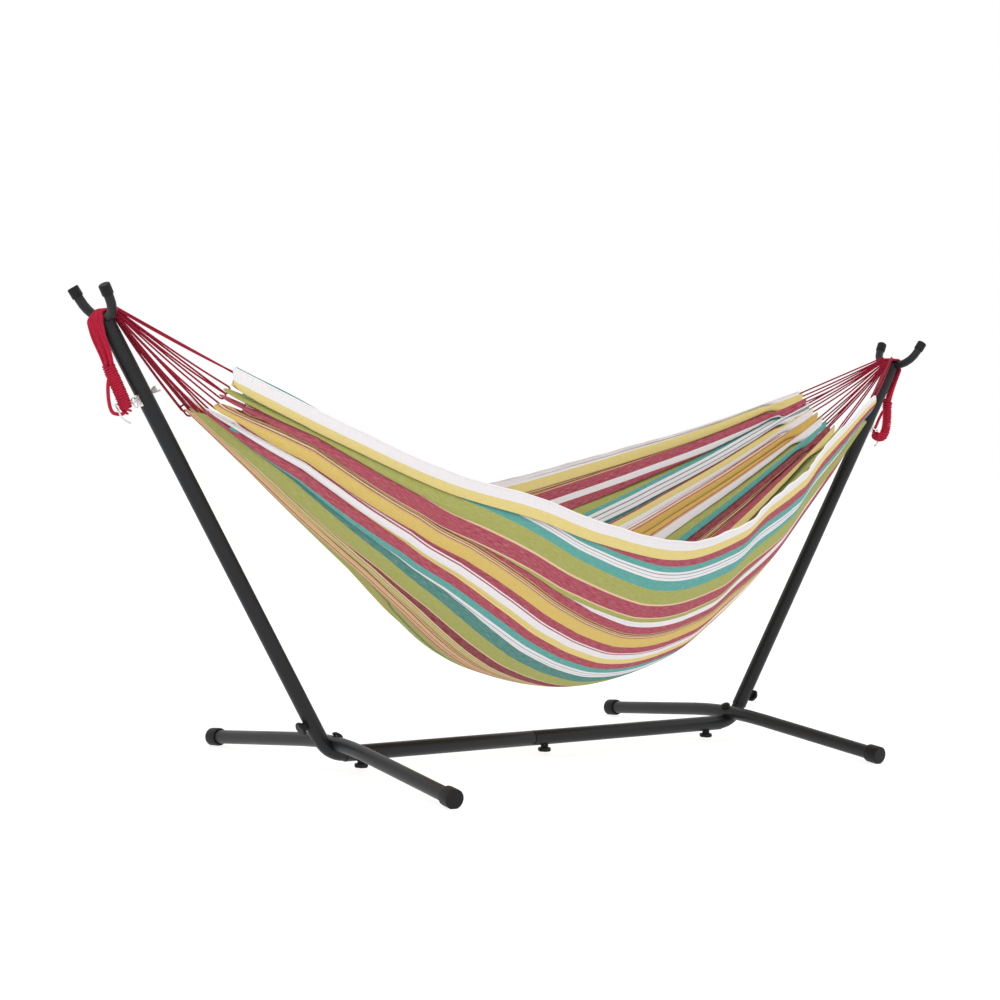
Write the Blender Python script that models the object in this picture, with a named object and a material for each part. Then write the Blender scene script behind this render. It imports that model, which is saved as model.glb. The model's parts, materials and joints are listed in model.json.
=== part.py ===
"""Hammock on a steel tube stand, modelled for Blender 4.5.

Metres, +Z up.  The origin is on the floor under the middle of the stand, +X runs along
the base tube and +Y across it.  The stand is a straight base tube with a bent elbow at each
end, a sloping upright on each elbow, and an arched crossbar bolted over each elbow, whose
capped ends are the feet.  A two-pronged fork on each upright carries the clew cords of a
woven cloth bed.
"""
import math

import bmesh
import bpy
from mathutils import Matrix, Vector

# ---------------------------------------------------------------- driving dimensions (m)
GAP = 0.0003                 # clearance between solids that touch
SIDES = 16                   # sides of a large round tube
SMALL_SIDES = 12             # sides of fasteners and wire

TUBE_R = 0.021               # base tube and uprights, 42 mm outside
TUBE_WALL = 0.0015
SLEEVE_R = 0.019             # elbows, swaged end and crossbars, 38 mm outside
SLEEVE_WALL = 0.0015

BASE_Z = 0.0483              # height of the base tube's axis
UPRIGHT_ANGLE = math.radians(59.0)
CORNER_X = 0.7128            # where the base axis and an upright's axis would cross
BEND_R = 0.090               # bend radius of an elbow, on its axis
ARM = 0.100                  # length of an elbow's arm inside its neighbour
BASE_END_X = 0.664           # end of the base tube
SWAGE_X = -0.044             # where the left base tube necks down into the right one
SWAGE_END_X = 0.060
UPRIGHT_START = 0.0060       # from the end of the bend to the upright's lower end
UPRIGHT_TOP_Z = 1.145        # height of the fork tube's axis on the upright's axis

CROSSBAR_HALF = 0.580        # half length of a crossbar, measured across
CROSSBAR_SLOPE = math.radians(7.14)
CROSSBAR_BEND_R = 1.200
CROSSBAR_SEAT = 0.0209       # crossbar axis above the elbow axis, where it is dented

FOOT_R = 0.025               # foot cap
FOOT_LENGTH = 0.036          # how far it covers the tube
FOOT_END = 0.006             # thickness of its end wall

FORK_R = 0.012               # fork tube
FORK_WALL = 0.0015
FORK_FLAT = 0.020            # half length of its straight middle
FORK_BEND_R = 0.060
FORK_BEND = math.radians(80.0)
FORK_TIP = 0.029             # straight end beyond the bend
PRONG_CAP_R = 0.0145
PRONG_CAP_LENGTH = 0.027

KNOB_BASE_X = 0.610          # knobs under the base tube, besides the one in the middle
KNOB_UPRIGHT_Z = 0.1391      # knob axis on the upright's axis
KNOB_NECK_R = 0.011
KNOB_NECK = 0.0080
KNOB_R = 0.0190
KNOB_DISC = 0.0105
KNOB_LOBES = 6
STUD_R = 0.0039
STUD_HOLE_R = 0.0043
NUT_ACROSS_R = 0.0075        # centre to corner of an M8 nut
NUT_LOW, NUT_HIGH = 0.0087, 0.0150   # a nut's faces, from the tube's axis

EYE_Z = 0.958                # eye bolt on the upright's axis
EYE_SHANK_R = 0.0030
EYE_HOLE_R = 0.0034
EYE_WIRE_R = 0.0018
EYE_CENTRE = 0.0300          # middle of the oblong eye from the upright's axis
EYE_HALF_LONG, EYE_HALF_WIDE = 0.0130, 0.0048
SADDLE_LENGTH = 0.031        # curved washer between the eye and the upright
SADDLE_THICK = 0.0015
SADDLE_ANGLES = (-33.75, -11.25, 11.25, 33.75)
WING_NUT_R = 0.0055
WING_NUT_HEIGHT = 0.0090
WING_SPAN = 0.0260
WING_HEIGHT = 0.0210
WING_TURN = math.radians(60)  # from along the upright towards +Y

HOOK_R = 0.0023              # S-hook wire
WHIP_R = {-1: 0.0165, 1: 0.0145}     # whipped leg of each rope loop
LEG_R = 0.0045               # its bare leg

BED_THICK = 0.004
FAN_THICK = 0.005
NOTCH_X = 1.3510             # inner end of the cords that lie in the fork
NOTCH_HALF = 0.0250          # half width of the cords in the fork
NOTCH_Z = 1.1640
HANK_THICK = 0.0090

# The bed's cross-sections.  x / BED_HALF, near edge y z, far edge y z, lowest line y z
BED_HALF = 1.115
BED_BULGE = 0.025            # how much further out the lowest line reaches
BED_STATIONS = [
    (-1.00, -0.170, 1.035, 0.140, 0.985, -0.065, 0.935),
    (-0.76, -0.260, 0.905, 0.280, 0.890, -0.055, 0.710),
    (-0.55, -0.370, 0.795, 0.390, 0.820, -0.045, 0.515),
    (-0.36, -0.475, 0.730, 0.470, 0.765, -0.035, 0.325),
    (-0.22, -0.535, 0.670, 0.510, 0.735, -0.025, 0.245),
    (0.00, -0.570, 0.625, 0.545, 0.720, -0.015, 0.195),
    (0.22, -0.540, 0.675, 0.545, 0.755, -0.005, 0.235),
    (0.36, -0.470, 0.735, 0.505, 0.795, -0.005, 0.315),
    (0.55, -0.385, 0.815, 0.420, 0.860, -0.005, 0.460),
    (0.76, -0.250, 0.950, 0.300, 0.940, -0.015, 0.645),
    (1.00, -0.170, 1.040, 0.155, 1.055, -0.020, 0.935),
]
# Shape of a section's two sides: 2 is a parabola, and more sags fuller
FAR_POWER = 2.0
NEAR_POWER, NEAR_POWER_RIGHT = 2.3, 3.0

# Middle lines of the rope work and S-hooks, as distance out from the middle, (y,) height
HANK_ROUTE = [(1.3940, 1.1425), (1.3968, 1.1320), (1.3930, 1.115), (1.3835, 1.090),
              (1.3665, 1.055), (1.3525, 1.0190)]
WHIP_ROUTE = {
    -1: [(1.3500, 1.0140), (1.3425, 1.0000), (1.3330, 0.9820), (1.3200, 0.9560),
         (1.3100, 0.9340), (1.3090, 0.9240), (1.3170, 0.9145), (1.3300, 0.9130)],
    1: [(1.3528, 1.0120), (1.3535, 0.9940), (1.3530, 0.9600), (1.3480, 0.9360),
        (1.3360, 0.9180), (1.3220, 0.9150), (1.3060, 0.9180), (1.2930, 0.9270)]}
LEG_ROUTE = {
    -1: [(1.3480, 1.0050), (1.3560, 0.9900), (1.3560, 0.9600), (1.3510, 0.9320),
         (1.3430, 0.9170), (1.3300, 0.9130)],
    1: [(1.3480, 1.0070), (1.3310, 0.9920), (1.3170, 0.9720), (1.3050, 0.9500),
        (1.2975, 0.9380), (1.2940, 0.9270)]}
HOOK_ROUTE = {
    -1: [(1.2905, -0.0100, 0.9520), (1.2860, -0.0050, 0.9460), (1.2850, 0.0000, 0.9435),
         (1.2855, 0.0060, 0.9415), (1.2900, 0.0130, 0.9400), (1.2985, 0.0185, 0.9390),
         (1.3100, 0.0215, 0.9380), (1.3230, 0.0200, 0.9370), (1.3330, 0.0105, 0.9345),
         (1.3360, -0.0040, 0.9300), (1.3360, -0.0180, 0.9200), (1.3320, -0.0225, 0.9075),
         (1.3210, -0.0230, 0.8985), (1.3050, -0.0200, 0.8915)],
    1: [(1.2905, 0.0100, 0.9520), (1.2860, 0.0050, 0.9460), (1.2850, 0.0000, 0.9435),
        (1.2860, -0.0055, 0.9410), (1.2920, -0.0100, 0.9375), (1.3010, -0.0095, 0.9350),
        (1.3100, -0.0010, 0.9365), (1.3180, 0.0095, 0.9350), (1.3260, 0.0175, 0.9280),
        (1.3320, 0.0200, 0.9150), (1.3300, 0.0170, 0.9010), (1.3200, 0.0090, 0.8925),
        (1.3020, 0.0000, 0.8880)]}

# ---------------------------------------------------------------- derived places
SIN, COS = math.sin(UPRIGHT_ANGLE), math.cos(UPRIGHT_ANGLE)
HALF_ANGLE = UPRIGHT_ANGLE / 2
TANGENT = BEND_R * math.tan(HALF_ANGLE)
BEND_X, BEND_Z = CORNER_X - TANGENT, BASE_Z + BEND_R      # centre of an elbow's bend
UP = Vector((COS, 0, SIN))                                # along the right upright
OUT = Vector((SIN, 0, -COS))                              # square to it, outward
CORNER = Vector((CORNER_X, 0, BASE_Z))
SEAT_DIR = Vector((-math.sin(HALF_ANGLE), 0, math.cos(HALF_ANGLE)))   # elbow to crossbar
SEAT_MID = Vector((BEND_X, 0, BEND_Z)) - SEAT_DIR * BEND_R            # elbow axis, mid bend


def on_upright(z):
    """The point on the right upright's axis at height z."""
    return CORNER + UP * ((z - BASE_Z) / SIN)


# ---------------------------------------------------------------- materials
def material(name, colour, roughness, metallic=0.0):
    mat = bpy.data.materials.new(name)
    mat.use_nodes = True
    shader = mat.node_tree.nodes["Principled BSDF"]
    shader.inputs["Base Color"].default_value = (*colour, 1.0)
    shader.inputs["Roughness"].default_value = roughness
    shader.inputs["Metallic"].default_value = metallic
    return mat


def make_materials():
    return {
        "steel": material("powder_coated_steel", (0.030, 0.031, 0.034), 0.45, 0.3),
        "plastic": material("black_plastic", (0.012, 0.012, 0.013), 0.5),
        "zinc": material("zinc_plated_steel", (0.55, 0.55, 0.56), 0.3, 1.0),
        "cord": material("crimson_cord", (0.35, 0.01, 0.04), 0.85),
        "cloth": material("striped_cotton", (0.60, 0.33, 0.22), 0.9),
    }


# ---------------------------------------------------------------- mesh helpers
def clear_scene():
    for obj in list(bpy.data.objects):
        bpy.data.objects.remove(obj, do_unlink=True)


def new_object(name, bm, mat, origin=(0, 0, 0), smooth=True):
    """Turn a bmesh in world coordinates into an object whose origin is at the given point."""
    bmesh.ops.recalc_face_normals(bm, faces=bm.faces)
    bmesh.ops.translate(bm, verts=bm.verts, vec=-Vector(origin))
    mesh = bpy.data.meshes.new(name)
    bm.to_mesh(mesh)
    bm.free()
    if mat:
        mesh.materials.append(mat)
    if smooth:
        mesh.shade_smooth()
        mesh.set_sharp_from_angle(angle=math.radians(40))
    obj = bpy.data.objects.new(name, mesh)
    obj.location = origin
    bpy.context.collection.objects.link(obj)
    return obj


def bridge(bm, rings, closed=False):
    """Skin a list of vertex rings of equal length with quads."""
    pairs = list(zip(rings, rings[1:]))
    if closed:
        pairs.append((rings[-1], rings[0]))
    for low, high in pairs:
        count = len(low)
        for i in range(count):
            j = (i + 1) % count
            bm.faces.new((low[i], low[j], high[j], high[i]))


def frames(path, closed=False):
    """A tangent and two side directions at each point, with +Y as one side where it can be."""
    out = []
    side = Vector((0, 1, 0))
    count = len(path)
    for i, point in enumerate(path):
        if closed:
            tangent = path[(i + 1) % count] - path[i - 1]
        else:
            tangent = path[min(i + 1, count - 1)] - path[max(i - 1, 0)]
        tangent.normalize()
        if i == 0 and abs(tangent.y) > 0.9:
            side = Vector((1, 0, 0))
        side = (side - tangent * side.dot(tangent)).normalized()
        out.append((point, tangent, side, tangent.cross(side)))
    return out


def ring(bm, frame, radius, sides):
    point, _, side, up = frame
    verts = []
    for k in range(sides):
        angle = 2 * math.pi * (k + 0.5) / sides
        verts.append(bm.verts.new(point + side * (radius * math.cos(angle))
                                  + up * (radius * math.sin(angle))))
    return verts


def hollow_tube(path, outer, inner, sides=SIDES):
    """A tube open at both ends.  outer and inner are radii, or a radius for each point."""
    bm = bmesh.new()
    outer = outer if isinstance(outer, list) else [outer] * len(path)
    inner = inner if isinstance(inner, list) else [inner] * len(path)
    placed = frames(path)
    out_rings = [ring(bm, f, r, sides) for f, r in zip(placed, outer)]
    in_rings = [ring(bm, f, r, sides) for f, r in zip(placed, inner)]
    bridge(bm, out_rings + in_rings[::-1], closed=True)
    return bm


def solid_tube(path, radius, sides=SMALL_SIDES, closed=False):
    """A round bar along a path, capped at both ends unless it closes on itself."""
    bm = bmesh.new()
    radii = radius if isinstance(radius, list) else [radius] * len(path)
    rings = [ring(bm, f, r, sides) for f, r in zip(frames(path, closed), radii)]
    bridge(bm, rings, closed=closed)
    if not closed:
        bm.faces.new(rings[0][::-1])
        bm.faces.new(rings[-1])
    return bm


def lathe(profile, sides, place):
    """Turn an open (radius, height) profile that starts and ends on the axis, or a closed one
    that stays off it.  place maps the lathe's Z axis to its direction and origin."""
    bm = bmesh.new()
    rings = []
    for radius, height in profile:
        if radius == 0:
            rings.append([bm.verts.new(place @ Vector((0, 0, height)))])
            continue
        rings.append([bm.verts.new(place @ Vector((radius * math.cos(2 * math.pi * k / sides),
                                                   radius * math.sin(2 * math.pi * k / sides),
                                                   height))) for k in range(sides)])
    closed = len(rings[0]) > 1
    pairs = list(zip(rings, rings[1:]))
    if closed:
        pairs.append((rings[-1], rings[0]))
    for low, high in pairs:
        for k in range(sides):
            j = (k + 1) % sides
            if len(low) == 1:
                bm.faces.new((low[0], high[j], high[k]))
            elif len(high) == 1:
                bm.faces.new((low[k], low[j], high[0]))
            else:
                bm.faces.new((low[k], low[j], high[j], high[k]))
    return bm


def bore(radius, sides):
    """Radius of a faceted hole with clearance all round a bar of the given radius."""
    return (radius + GAP) / math.cos(math.pi / sides)


def placement(origin, direction, spin=0.0):
    """A matrix that puts local Z along a direction at an origin."""
    turn = Vector(direction).to_track_quat("Z", "Y").to_matrix().to_4x4()
    return Matrix.Translation(Vector(origin)) @ turn @ Matrix.Rotation(spin, 4, "Z")


def smooth_path(points, step_count):
    """Points along a Catmull-Rom curve through the given points."""
    pts = [Vector(p) for p in points]
    pts = [2 * pts[0] - pts[1]] + pts + [2 * pts[-1] - pts[-2]]
    out = []
    for i in range(1, len(pts) - 2):
        for k in range(step_count):
            t = k / step_count
            a, b, c, d = pts[i - 1], pts[i], pts[i + 1], pts[i + 2]
            out.append(0.5 * (2 * b + (c - a) * t + (2 * a - 5 * b + 4 * c - d) * t * t
                              + (3 * b - a - 3 * c + d) * t ** 3))
    out.append(pts[-2])
    return out


def cutter(name, bm):
    """A hidden object that shapes another one through a Boolean modifier."""
    obj = new_object(name, bm, None)
    obj.hide_render = True
    obj.display_type = "WIRE"
    return obj


def boolean(obj, tool, operation):
    mod = obj.modifiers.new(tool.name, "BOOLEAN")
    mod.operation = operation
    mod.object = tool
    mod.solver = "EXACT"


def drill(obj, origin, direction, radius, start, end):
    """Cut a round hole through one wall, from start to end along a direction."""
    origin, direction = Vector(origin), Vector(direction)
    path = [origin + direction * start, origin + direction * end]
    tool = cutter(obj.name + "_hole_%d" % len(obj.modifiers),
                  solid_tube(path, radius, SMALL_SIDES))
    boolean(obj, tool, "DIFFERENCE")


def mirrored(vector, side):
    """side is +1 for the right half of the stand and -1 for the left half."""
    v = Vector(vector)
    return Vector((v.x * side, v.y, v.z))


# ---------------------------------------------------------------- the stand's tubes
def base_tubes(mats):
    neck = 0.003
    left_x = [-BASE_END_X, SWAGE_X - neck, SWAGE_X, SWAGE_END_X]
    left_r = [TUBE_R, TUBE_R, SLEEVE_R, SLEEVE_R]
    left = hollow_tube([Vector((x, 0, BASE_Z)) for x in left_x], left_r,
                       [r - TUBE_WALL for r in left_r])
    left = new_object("base_tube_left", left, mats["steel"], (-BASE_END_X, 0, BASE_Z))
    right = hollow_tube([Vector((x, 0, BASE_Z)) for x in (SWAGE_X + GAP, BASE_END_X)],
                        TUBE_R, TUBE_R - TUBE_WALL)
    right = new_object("base_tube_right", right, mats["steel"], (BASE_END_X, 0, BASE_Z))
    down = (0, 0, -1)
    drill(left, (0, 0, BASE_Z), down, STUD_HOLE_R, 0.010, 0.024)
    drill(left, (-KNOB_BASE_X, 0, BASE_Z), down, STUD_HOLE_R, 0.010, 0.024)
    drill(right, (0, 0, BASE_Z), down, STUD_HOLE_R, 0.010, 0.024)
    drill(right, (KNOB_BASE_X, 0, BASE_Z), down, STUD_HOLE_R, 0.010, 0.024)


def elbow_path(side):
    """Axis of an elbow from the end of its base arm to the end of its upright arm."""
    points = [Vector((BEND_X - ARM, 0, BASE_Z))]
    steps = 7
    for k in range(steps + 1):
        angle = UPRIGHT_ANGLE * k / steps
        points.append(Vector((BEND_X + BEND_R * math.sin(angle), 0,
                              BEND_Z - BEND_R * math.cos(angle))))
    points.append(points[-1] + UP * ARM)
    return [mirrored(p, side) for p in points]


def elbow(name, side, mats):
    bm = hollow_tube(elbow_path(side), SLEEVE_R, SLEEVE_R - SLEEVE_WALL)
    obj = new_object(name, bm, mats["steel"], mirrored(CORNER, side))
    drill(obj, (side * KNOB_BASE_X, 0, BASE_Z), (0, 0, -1), STUD_HOLE_R, 0.010, 0.022)
    drill(obj, mirrored(on_upright(KNOB_UPRIGHT_Z), side), mirrored(OUT, side),
          STUD_HOLE_R, 0.010, 0.022)
    drill(obj, mirrored(SEAT_MID, side), mirrored(SEAT_DIR, side), STUD_HOLE_R, 0.010, 0.022)


def fork_path(side):
    """Axis of the fork tube, which lies in the plane of its upright and +Y."""
    top = on_upright(UPRIGHT_TOP_Z)
    half = [(0.0, 0.0)]
    steps = 5
    for k in range(steps + 1):
        angle = FORK_BEND * k / steps
        half.append((FORK_FLAT + FORK_BEND_R * math.sin(angle),
                     FORK_BEND_R * (1 - math.cos(angle))))
    y, rise = half[-1]
    half.append((y + FORK_TIP * math.cos(FORK_BEND), rise + FORK_TIP * math.sin(FORK_BEND)))
    whole = [(-y, rise) for y, rise in half[:0:-1]] + half
    return [mirrored(top + UP * rise + Vector((0, y, 0)), side) for y, rise in whole]


def upright(name, side, mats):
    start = on_upright(BASE_Z) + UP * (TANGENT + UPRIGHT_START)
    end = on_upright(UPRIGHT_TOP_Z)
    path = [mirrored(start, side), mirrored(end, side)]
    obj = new_object(name, hollow_tube(path, TUBE_R, TUBE_R - TUBE_WALL), mats["steel"],
                     path[0])
    out = mirrored(OUT, side)
    drill(obj, mirrored(on_upright(KNOB_UPRIGHT_Z), side), out, STUD_HOLE_R, 0.012, 0.024)
    drill(obj, mirrored(on_upright(EYE_Z), side), out, EYE_HOLE_R, -0.025, 0.025)
    saddle = cutter(name + "_saddle", solid_tube(fork_path(side)[4:-4], bore(FORK_R, 12), 12))
    boolean(obj, saddle, "DIFFERENCE")


def fork(name, side, mats):
    path = fork_path(side)
    bm = hollow_tube(path, FORK_R, FORK_R - FORK_WALL, 12)
    new_object(name, bm, mats["steel"], path[len(path) // 2])


def prong_cap(name, side, far, mats):
    """A plastic cap over one prong.  far is +1 for the prong at +Y."""
    path = fork_path(side)
    tip, before = (path[-1], path[-2]) if far > 0 else (path[0], path[1])
    along = (tip - before).normalized()
    cover = PRONG_CAP_LENGTH - 0.004
    inner = bore(FORK_R, SIDES)
    profile = [(0, GAP), (inner, GAP), (inner, -cover), (PRONG_CAP_R - 0.0005, -cover),
               (PRONG_CAP_R, -cover + 0.002), (PRONG_CAP_R, 0.002), (PRONG_CAP_R - 0.002, 0.004),
               (0, 0.004)]
    bm = lathe(profile, SIDES, placement(tip, along))
    new_object(name, bm, mats["plastic"], tip)


# ---------------------------------------------------------------- crossbars and feet
def crossbar_point(side, y):
    """A point on a crossbar's axis, in the plane that leans inward with the elbow's bend."""
    bend_half = CROSSBAR_BEND_R * math.sin(CROSSBAR_SLOPE)
    if abs(y) < bend_half:
        drop = CROSSBAR_BEND_R - math.sqrt(CROSSBAR_BEND_R ** 2 - y * y)
    else:
        drop = (CROSSBAR_BEND_R * (1 - math.cos(CROSSBAR_SLOPE))
                + (abs(y) - bend_half) * math.tan(CROSSBAR_SLOPE))
    middle = SEAT_MID + SEAT_DIR * CROSSBAR_SEAT
    return mirrored(middle - SEAT_DIR * drop + Vector((0, y, 0)), side)


def elbow_distance(point, side):
    """Distance from the bent axis of an elbow, and the direction away from it."""
    p = mirrored(point, side)
    centre = Vector((BEND_X, 0, BEND_Z))
    flat = Vector((p.x - centre.x, 0, p.z - centre.z))
    angle = math.atan2(flat.x, -flat.z)
    angle = min(max(angle, 0.0), UPRIGHT_ANGLE)
    nearest = centre + Vector((math.sin(angle), 0, -math.cos(angle))) * BEND_R
    away = p - nearest
    if away.length < 1e-6:
        away = SEAT_DIR * 1e-6
    return away.length, away, nearest


def dent(bm, side):
    """Press a crossbar's underside over the elbow, and keep the wall's thickness."""
    lift = mirrored(SEAT_DIR, side)
    for vert in bm.verts:
        along = abs(vert.co.y)
        if along > 0.045:
            continue
        axis = crossbar_point(side, vert.co.y)
        inner = (vert.co - axis).length < SLEEVE_R - SLEEVE_WALL / 2
        clear = SLEEVE_R + GAP + (SLEEVE_WALL if inner else 0.0)
        for _ in range(60):
            if elbow_distance(vert.co, side)[0] >= clear + 0.0009:
                break
            vert.co += lift * 0.0004


def crossbar(name, side, mats):
    near_middle = [0.0, 0.007, 0.014, 0.021, 0.028, 0.036, 0.045, 0.090, 0.149]
    half = near_middle + [CROSSBAR_HALF]
    ys = [-y for y in half[:0:-1]] + half
    path = [crossbar_point(side, y) for y in ys]
    bm = hollow_tube(path, SLEEVE_R, SLEEVE_R - SLEEVE_WALL)
    dent(bm, side)
    obj = new_object(name, bm, mats["steel"], crossbar_point(side, 0))
    drill(obj, crossbar_point(side, 0), mirrored(SEAT_DIR, side), STUD_HOLE_R, -0.010, 0.030)


def foot_cap(name, side, far, mats):
    """A plastic foot over one end of a crossbar, cut flat where it stands on the floor."""
    end = crossbar_point(side, far * CROSSBAR_HALF)
    along = (end - crossbar_point(side, far * (CROSSBAR_HALF - 0.1))).normalized()
    inner = bore(SLEEVE_R, SIDES)
    profile = [(0, GAP), (inner, GAP), (inner, -FOOT_LENGTH), (FOOT_R - 0.002, -FOOT_LENGTH),
               (FOOT_R, -FOOT_LENGTH + 0.005), (FOOT_R, FOOT_END - 0.002),
               (FOOT_R - 0.002, FOOT_END), (0, FOOT_END)]
    bm = lathe(profile, SIDES, placement(end, along))
    cut = bmesh.ops.bisect_plane(bm, geom=bm.verts[:] + bm.edges[:] + bm.faces[:],
                                 plane_co=(0, 0, 0), plane_no=(0, 0, -1), clear_outer=True)
    edges = [e for e in cut["geom_cut"] if isinstance(e, bmesh.types.BMEdge)]
    bmesh.ops.edgeloop_fill(bm, edges=edges)
    new_object(name, bm, mats["plastic"], end)


def crossbar_fasteners(suffix, side, mats):
    """The bolt that holds a crossbar on its elbow, its domed cover, and the nut inside."""
    up = mirrored(SEAT_DIR, side)
    elbow_axis = mirrored(SEAT_MID, side)
    top = CROSSBAR_SEAT + SLEEVE_R + GAP
    head = [(0, 0.0055), (0.0072, 0.0055), (0.0072, 0), (STUD_R, 0), (STUD_R, 0.007 - top),
            (0, 0.007 - top)]
    seat = placement(elbow_axis + up * top, up)
    new_object("crossbar_bolt_" + suffix, lathe(head, SMALL_SIDES, seat), mats["zinc"],
               elbow_axis + up * top)
    dome = [(0, 0.0064), (0.0078, 0.0064), (0.0078, 0), (0.0155, 0), (0.0155, 0.0025),
            (0.0135, 0.0060), (0.0085, 0.0086), (0, 0.0096)]
    new_object("bolt_cover_" + suffix, lathe(dome, SIDES, seat), mats["plastic"],
               elbow_axis + up * top)
    hex_nut("crossbar_nut_" + suffix, elbow_axis, up, mats)


def hex_nut(name, axis_point, direction, mats):
    """A nut held inside a tube wall, with its bore along a direction from the tube's axis."""
    inner = bore(STUD_R, 6)
    profile = [(inner, NUT_LOW), (NUT_ACROSS_R, NUT_LOW), (NUT_ACROSS_R, NUT_HIGH),
               (inner, NUT_HIGH)]
    bm = lathe(profile, 6, placement(axis_point, direction))
    new_object(name, bm, mats["zinc"], Vector(axis_point) + Vector(direction) * NUT_LOW,
               smooth=False)


# ---------------------------------------------------------------- knobs
def knob(suffix, axis_point, direction, mats):
    """A lobed hand knob, its threaded stud and the nut inside the sleeve that it pulls on."""
    axis_point, direction = Vector(axis_point), Vector(direction)
    seat = axis_point + direction * (TUBE_R + GAP)
    place = placement(seat, direction)
    bm = bmesh.new()
    sides = KNOB_LOBES * 4
    def outline(radius, height, lobed):
        verts = []
        for k in range(sides):
            angle = 2 * math.pi * k / sides
            wave = 0.09 * (1 - abs(math.cos(KNOB_LOBES * angle / 2))) if lobed else 0.0
            r = radius * (1 - wave)
            verts.append(bm.verts.new(place @ Vector((r * math.cos(angle), r * math.sin(angle),
                                                      height))))
        return verts

    top = KNOB_NECK + KNOB_DISC
    rings = [outline(STUD_HOLE_R, 0.0130, False), outline(STUD_HOLE_R, 0, False),
             outline(KNOB_NECK_R, 0, False), outline(KNOB_NECK_R * 0.92, KNOB_NECK, False),
             outline(KNOB_R * 0.93, KNOB_NECK, True), outline(KNOB_R, KNOB_NECK + 0.003, True),
             outline(KNOB_R, top - 0.003, True), outline(KNOB_R * 0.86, top, True)]
    bridge(bm, rings)
    bm.faces.new(rings[0])
    bm.faces.new(rings[-1])
    new_object("knob_" + suffix, bm, mats["plastic"], seat)
    path = [axis_point + direction * 0.0070, seat + direction * (0.0130 - GAP)]
    new_object("knob_stud_" + suffix, solid_tube(path, STUD_R), mats["zinc"], seat)
    hex_nut("knob_nut_" + suffix, axis_point, direction, mats)


def all_knobs(mats):
    down = Vector((0, 0, -1))
    knob("base_middle", (0, 0, BASE_Z), down, mats)
    for suffix, side in (("left", -1), ("right", 1)):
        knob("base_" + suffix, (side * KNOB_BASE_X, 0, BASE_Z), down, mats)
        knob("upright_" + suffix, mirrored(on_upright(KNOB_UPRIGHT_Z), side),
             mirrored(OUT, side), mats)


# ---------------------------------------------------------------- rope anchors
def eye_bolt(name, side, mats):
    """A bolt through the upright with an oblong eye on its outer end."""
    foot = on_upright(EYE_Z)
    centre = foot + OUT * EYE_CENTRE
    loop = []
    steps = 6
    straight = EYE_HALF_LONG - EYE_HALF_WIDE
    for end in (1, -1):
        for k in range(steps + 1):
            angle = math.pi * k / steps
            loop.append(centre + UP * (end * (straight + EYE_HALF_WIDE * math.sin(angle)))
                        + OUT * (end * EYE_HALF_WIDE * math.cos(angle)))
    ring_obj = cutter(name + "_ring", solid_tube([mirrored(p, side) for p in loop],
                                                 EYE_WIRE_R, 8, closed=True))
    shank = [mirrored(foot + OUT * d, side) for d in (-0.0370, EYE_CENTRE - EYE_HALF_WIDE)]
    obj = new_object(name, solid_tube(shank, EYE_SHANK_R), mats["zinc"], mirrored(foot, side))
    boolean(obj, ring_obj, "UNION")


def saddle_washer(name, side, mats):
    """A curved plate that seats the eye against the round upright."""
    foot = on_upright(EYE_Z)
    inner = TUBE_R + 1.2 * GAP
    outline = [(inner, a) for a in SADDLE_ANGLES]
    outline += [(inner + SADDLE_THICK, a) for a in reversed(SADDLE_ANGLES)]
    bm = bmesh.new()
    ends = []
    for along in (-SADDLE_LENGTH / 2, SADDLE_LENGTH / 2):
        verts = []
        for radius, degrees in outline:
            angle = math.radians(degrees)
            point = (foot + UP * along + OUT * (radius * math.cos(angle))
                     + Vector((0, radius * math.sin(angle), 0)))
            verts.append(bm.verts.new(mirrored(point, side)))
        ends.append(verts)
    bridge(bm, ends)
    for k in range(len(SADDLE_ANGLES) - 1):
        for verts in ends:
            bm.faces.new((verts[k], verts[k + 1], verts[-2 - k], verts[-1 - k]))
    obj = new_object(name, bm, mats["zinc"], mirrored(foot + OUT * inner, side))
    drill(obj, mirrored(foot, side), mirrored(OUT, side), EYE_HOLE_R, 0.018, 0.026)


def wing_nut(name, side, mats):
    """A wing nut on the inner end of an eye bolt."""
    inward = mirrored(-OUT, side)
    seat = mirrored(on_upright(EYE_Z), side) + inward * (TUBE_R + GAP)
    profile = [(EYE_HOLE_R, 0), (WING_NUT_R, 0), (WING_NUT_R * 0.8, WING_NUT_HEIGHT),
               (EYE_HOLE_R, WING_NUT_HEIGHT)]
    obj = new_object(name, lathe(profile, SMALL_SIDES, placement(seat, inward)), mats["zinc"],
                     seat)
    across = mirrored(UP, side) * math.cos(WING_TURN) + Vector((0, math.sin(WING_TURN), 0))
    through = across.cross(inward) * 0.001
    for sign, label in ((1, "a"), (-1, "b")):
        outline = [(WING_NUT_R * 0.8, 0.0015), (WING_SPAN / 2 - 0.0020, 0.0085),
                   (WING_SPAN / 2, WING_HEIGHT - 0.0035), (WING_SPAN / 2 - 0.0020, WING_HEIGHT),
                   (WING_SPAN / 2 - 0.0055, WING_HEIGHT - 0.0015), (WING_NUT_R * 0.75, 0.0080)]
        bm = bmesh.new()
        layers = []
        for half in (-1, 1):
            layers.append([bm.verts.new(seat + across * (sign * a) + inward * h + through * half)
                           for a, h in outline])
        bridge(bm, layers)
        bm.faces.new(layers[0])
        bm.faces.new(layers[1])
        boolean(obj, cutter(name + "_wing_" + label, bm), "UNION")


def s_hook(name, side, mats):
    route = smooth_path([mirrored(p, side) for p in HOOK_ROUTE[side]], 2)
    new_object(name, solid_tube(route, HOOK_R, 8), mats["zinc"], route[0])


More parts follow.
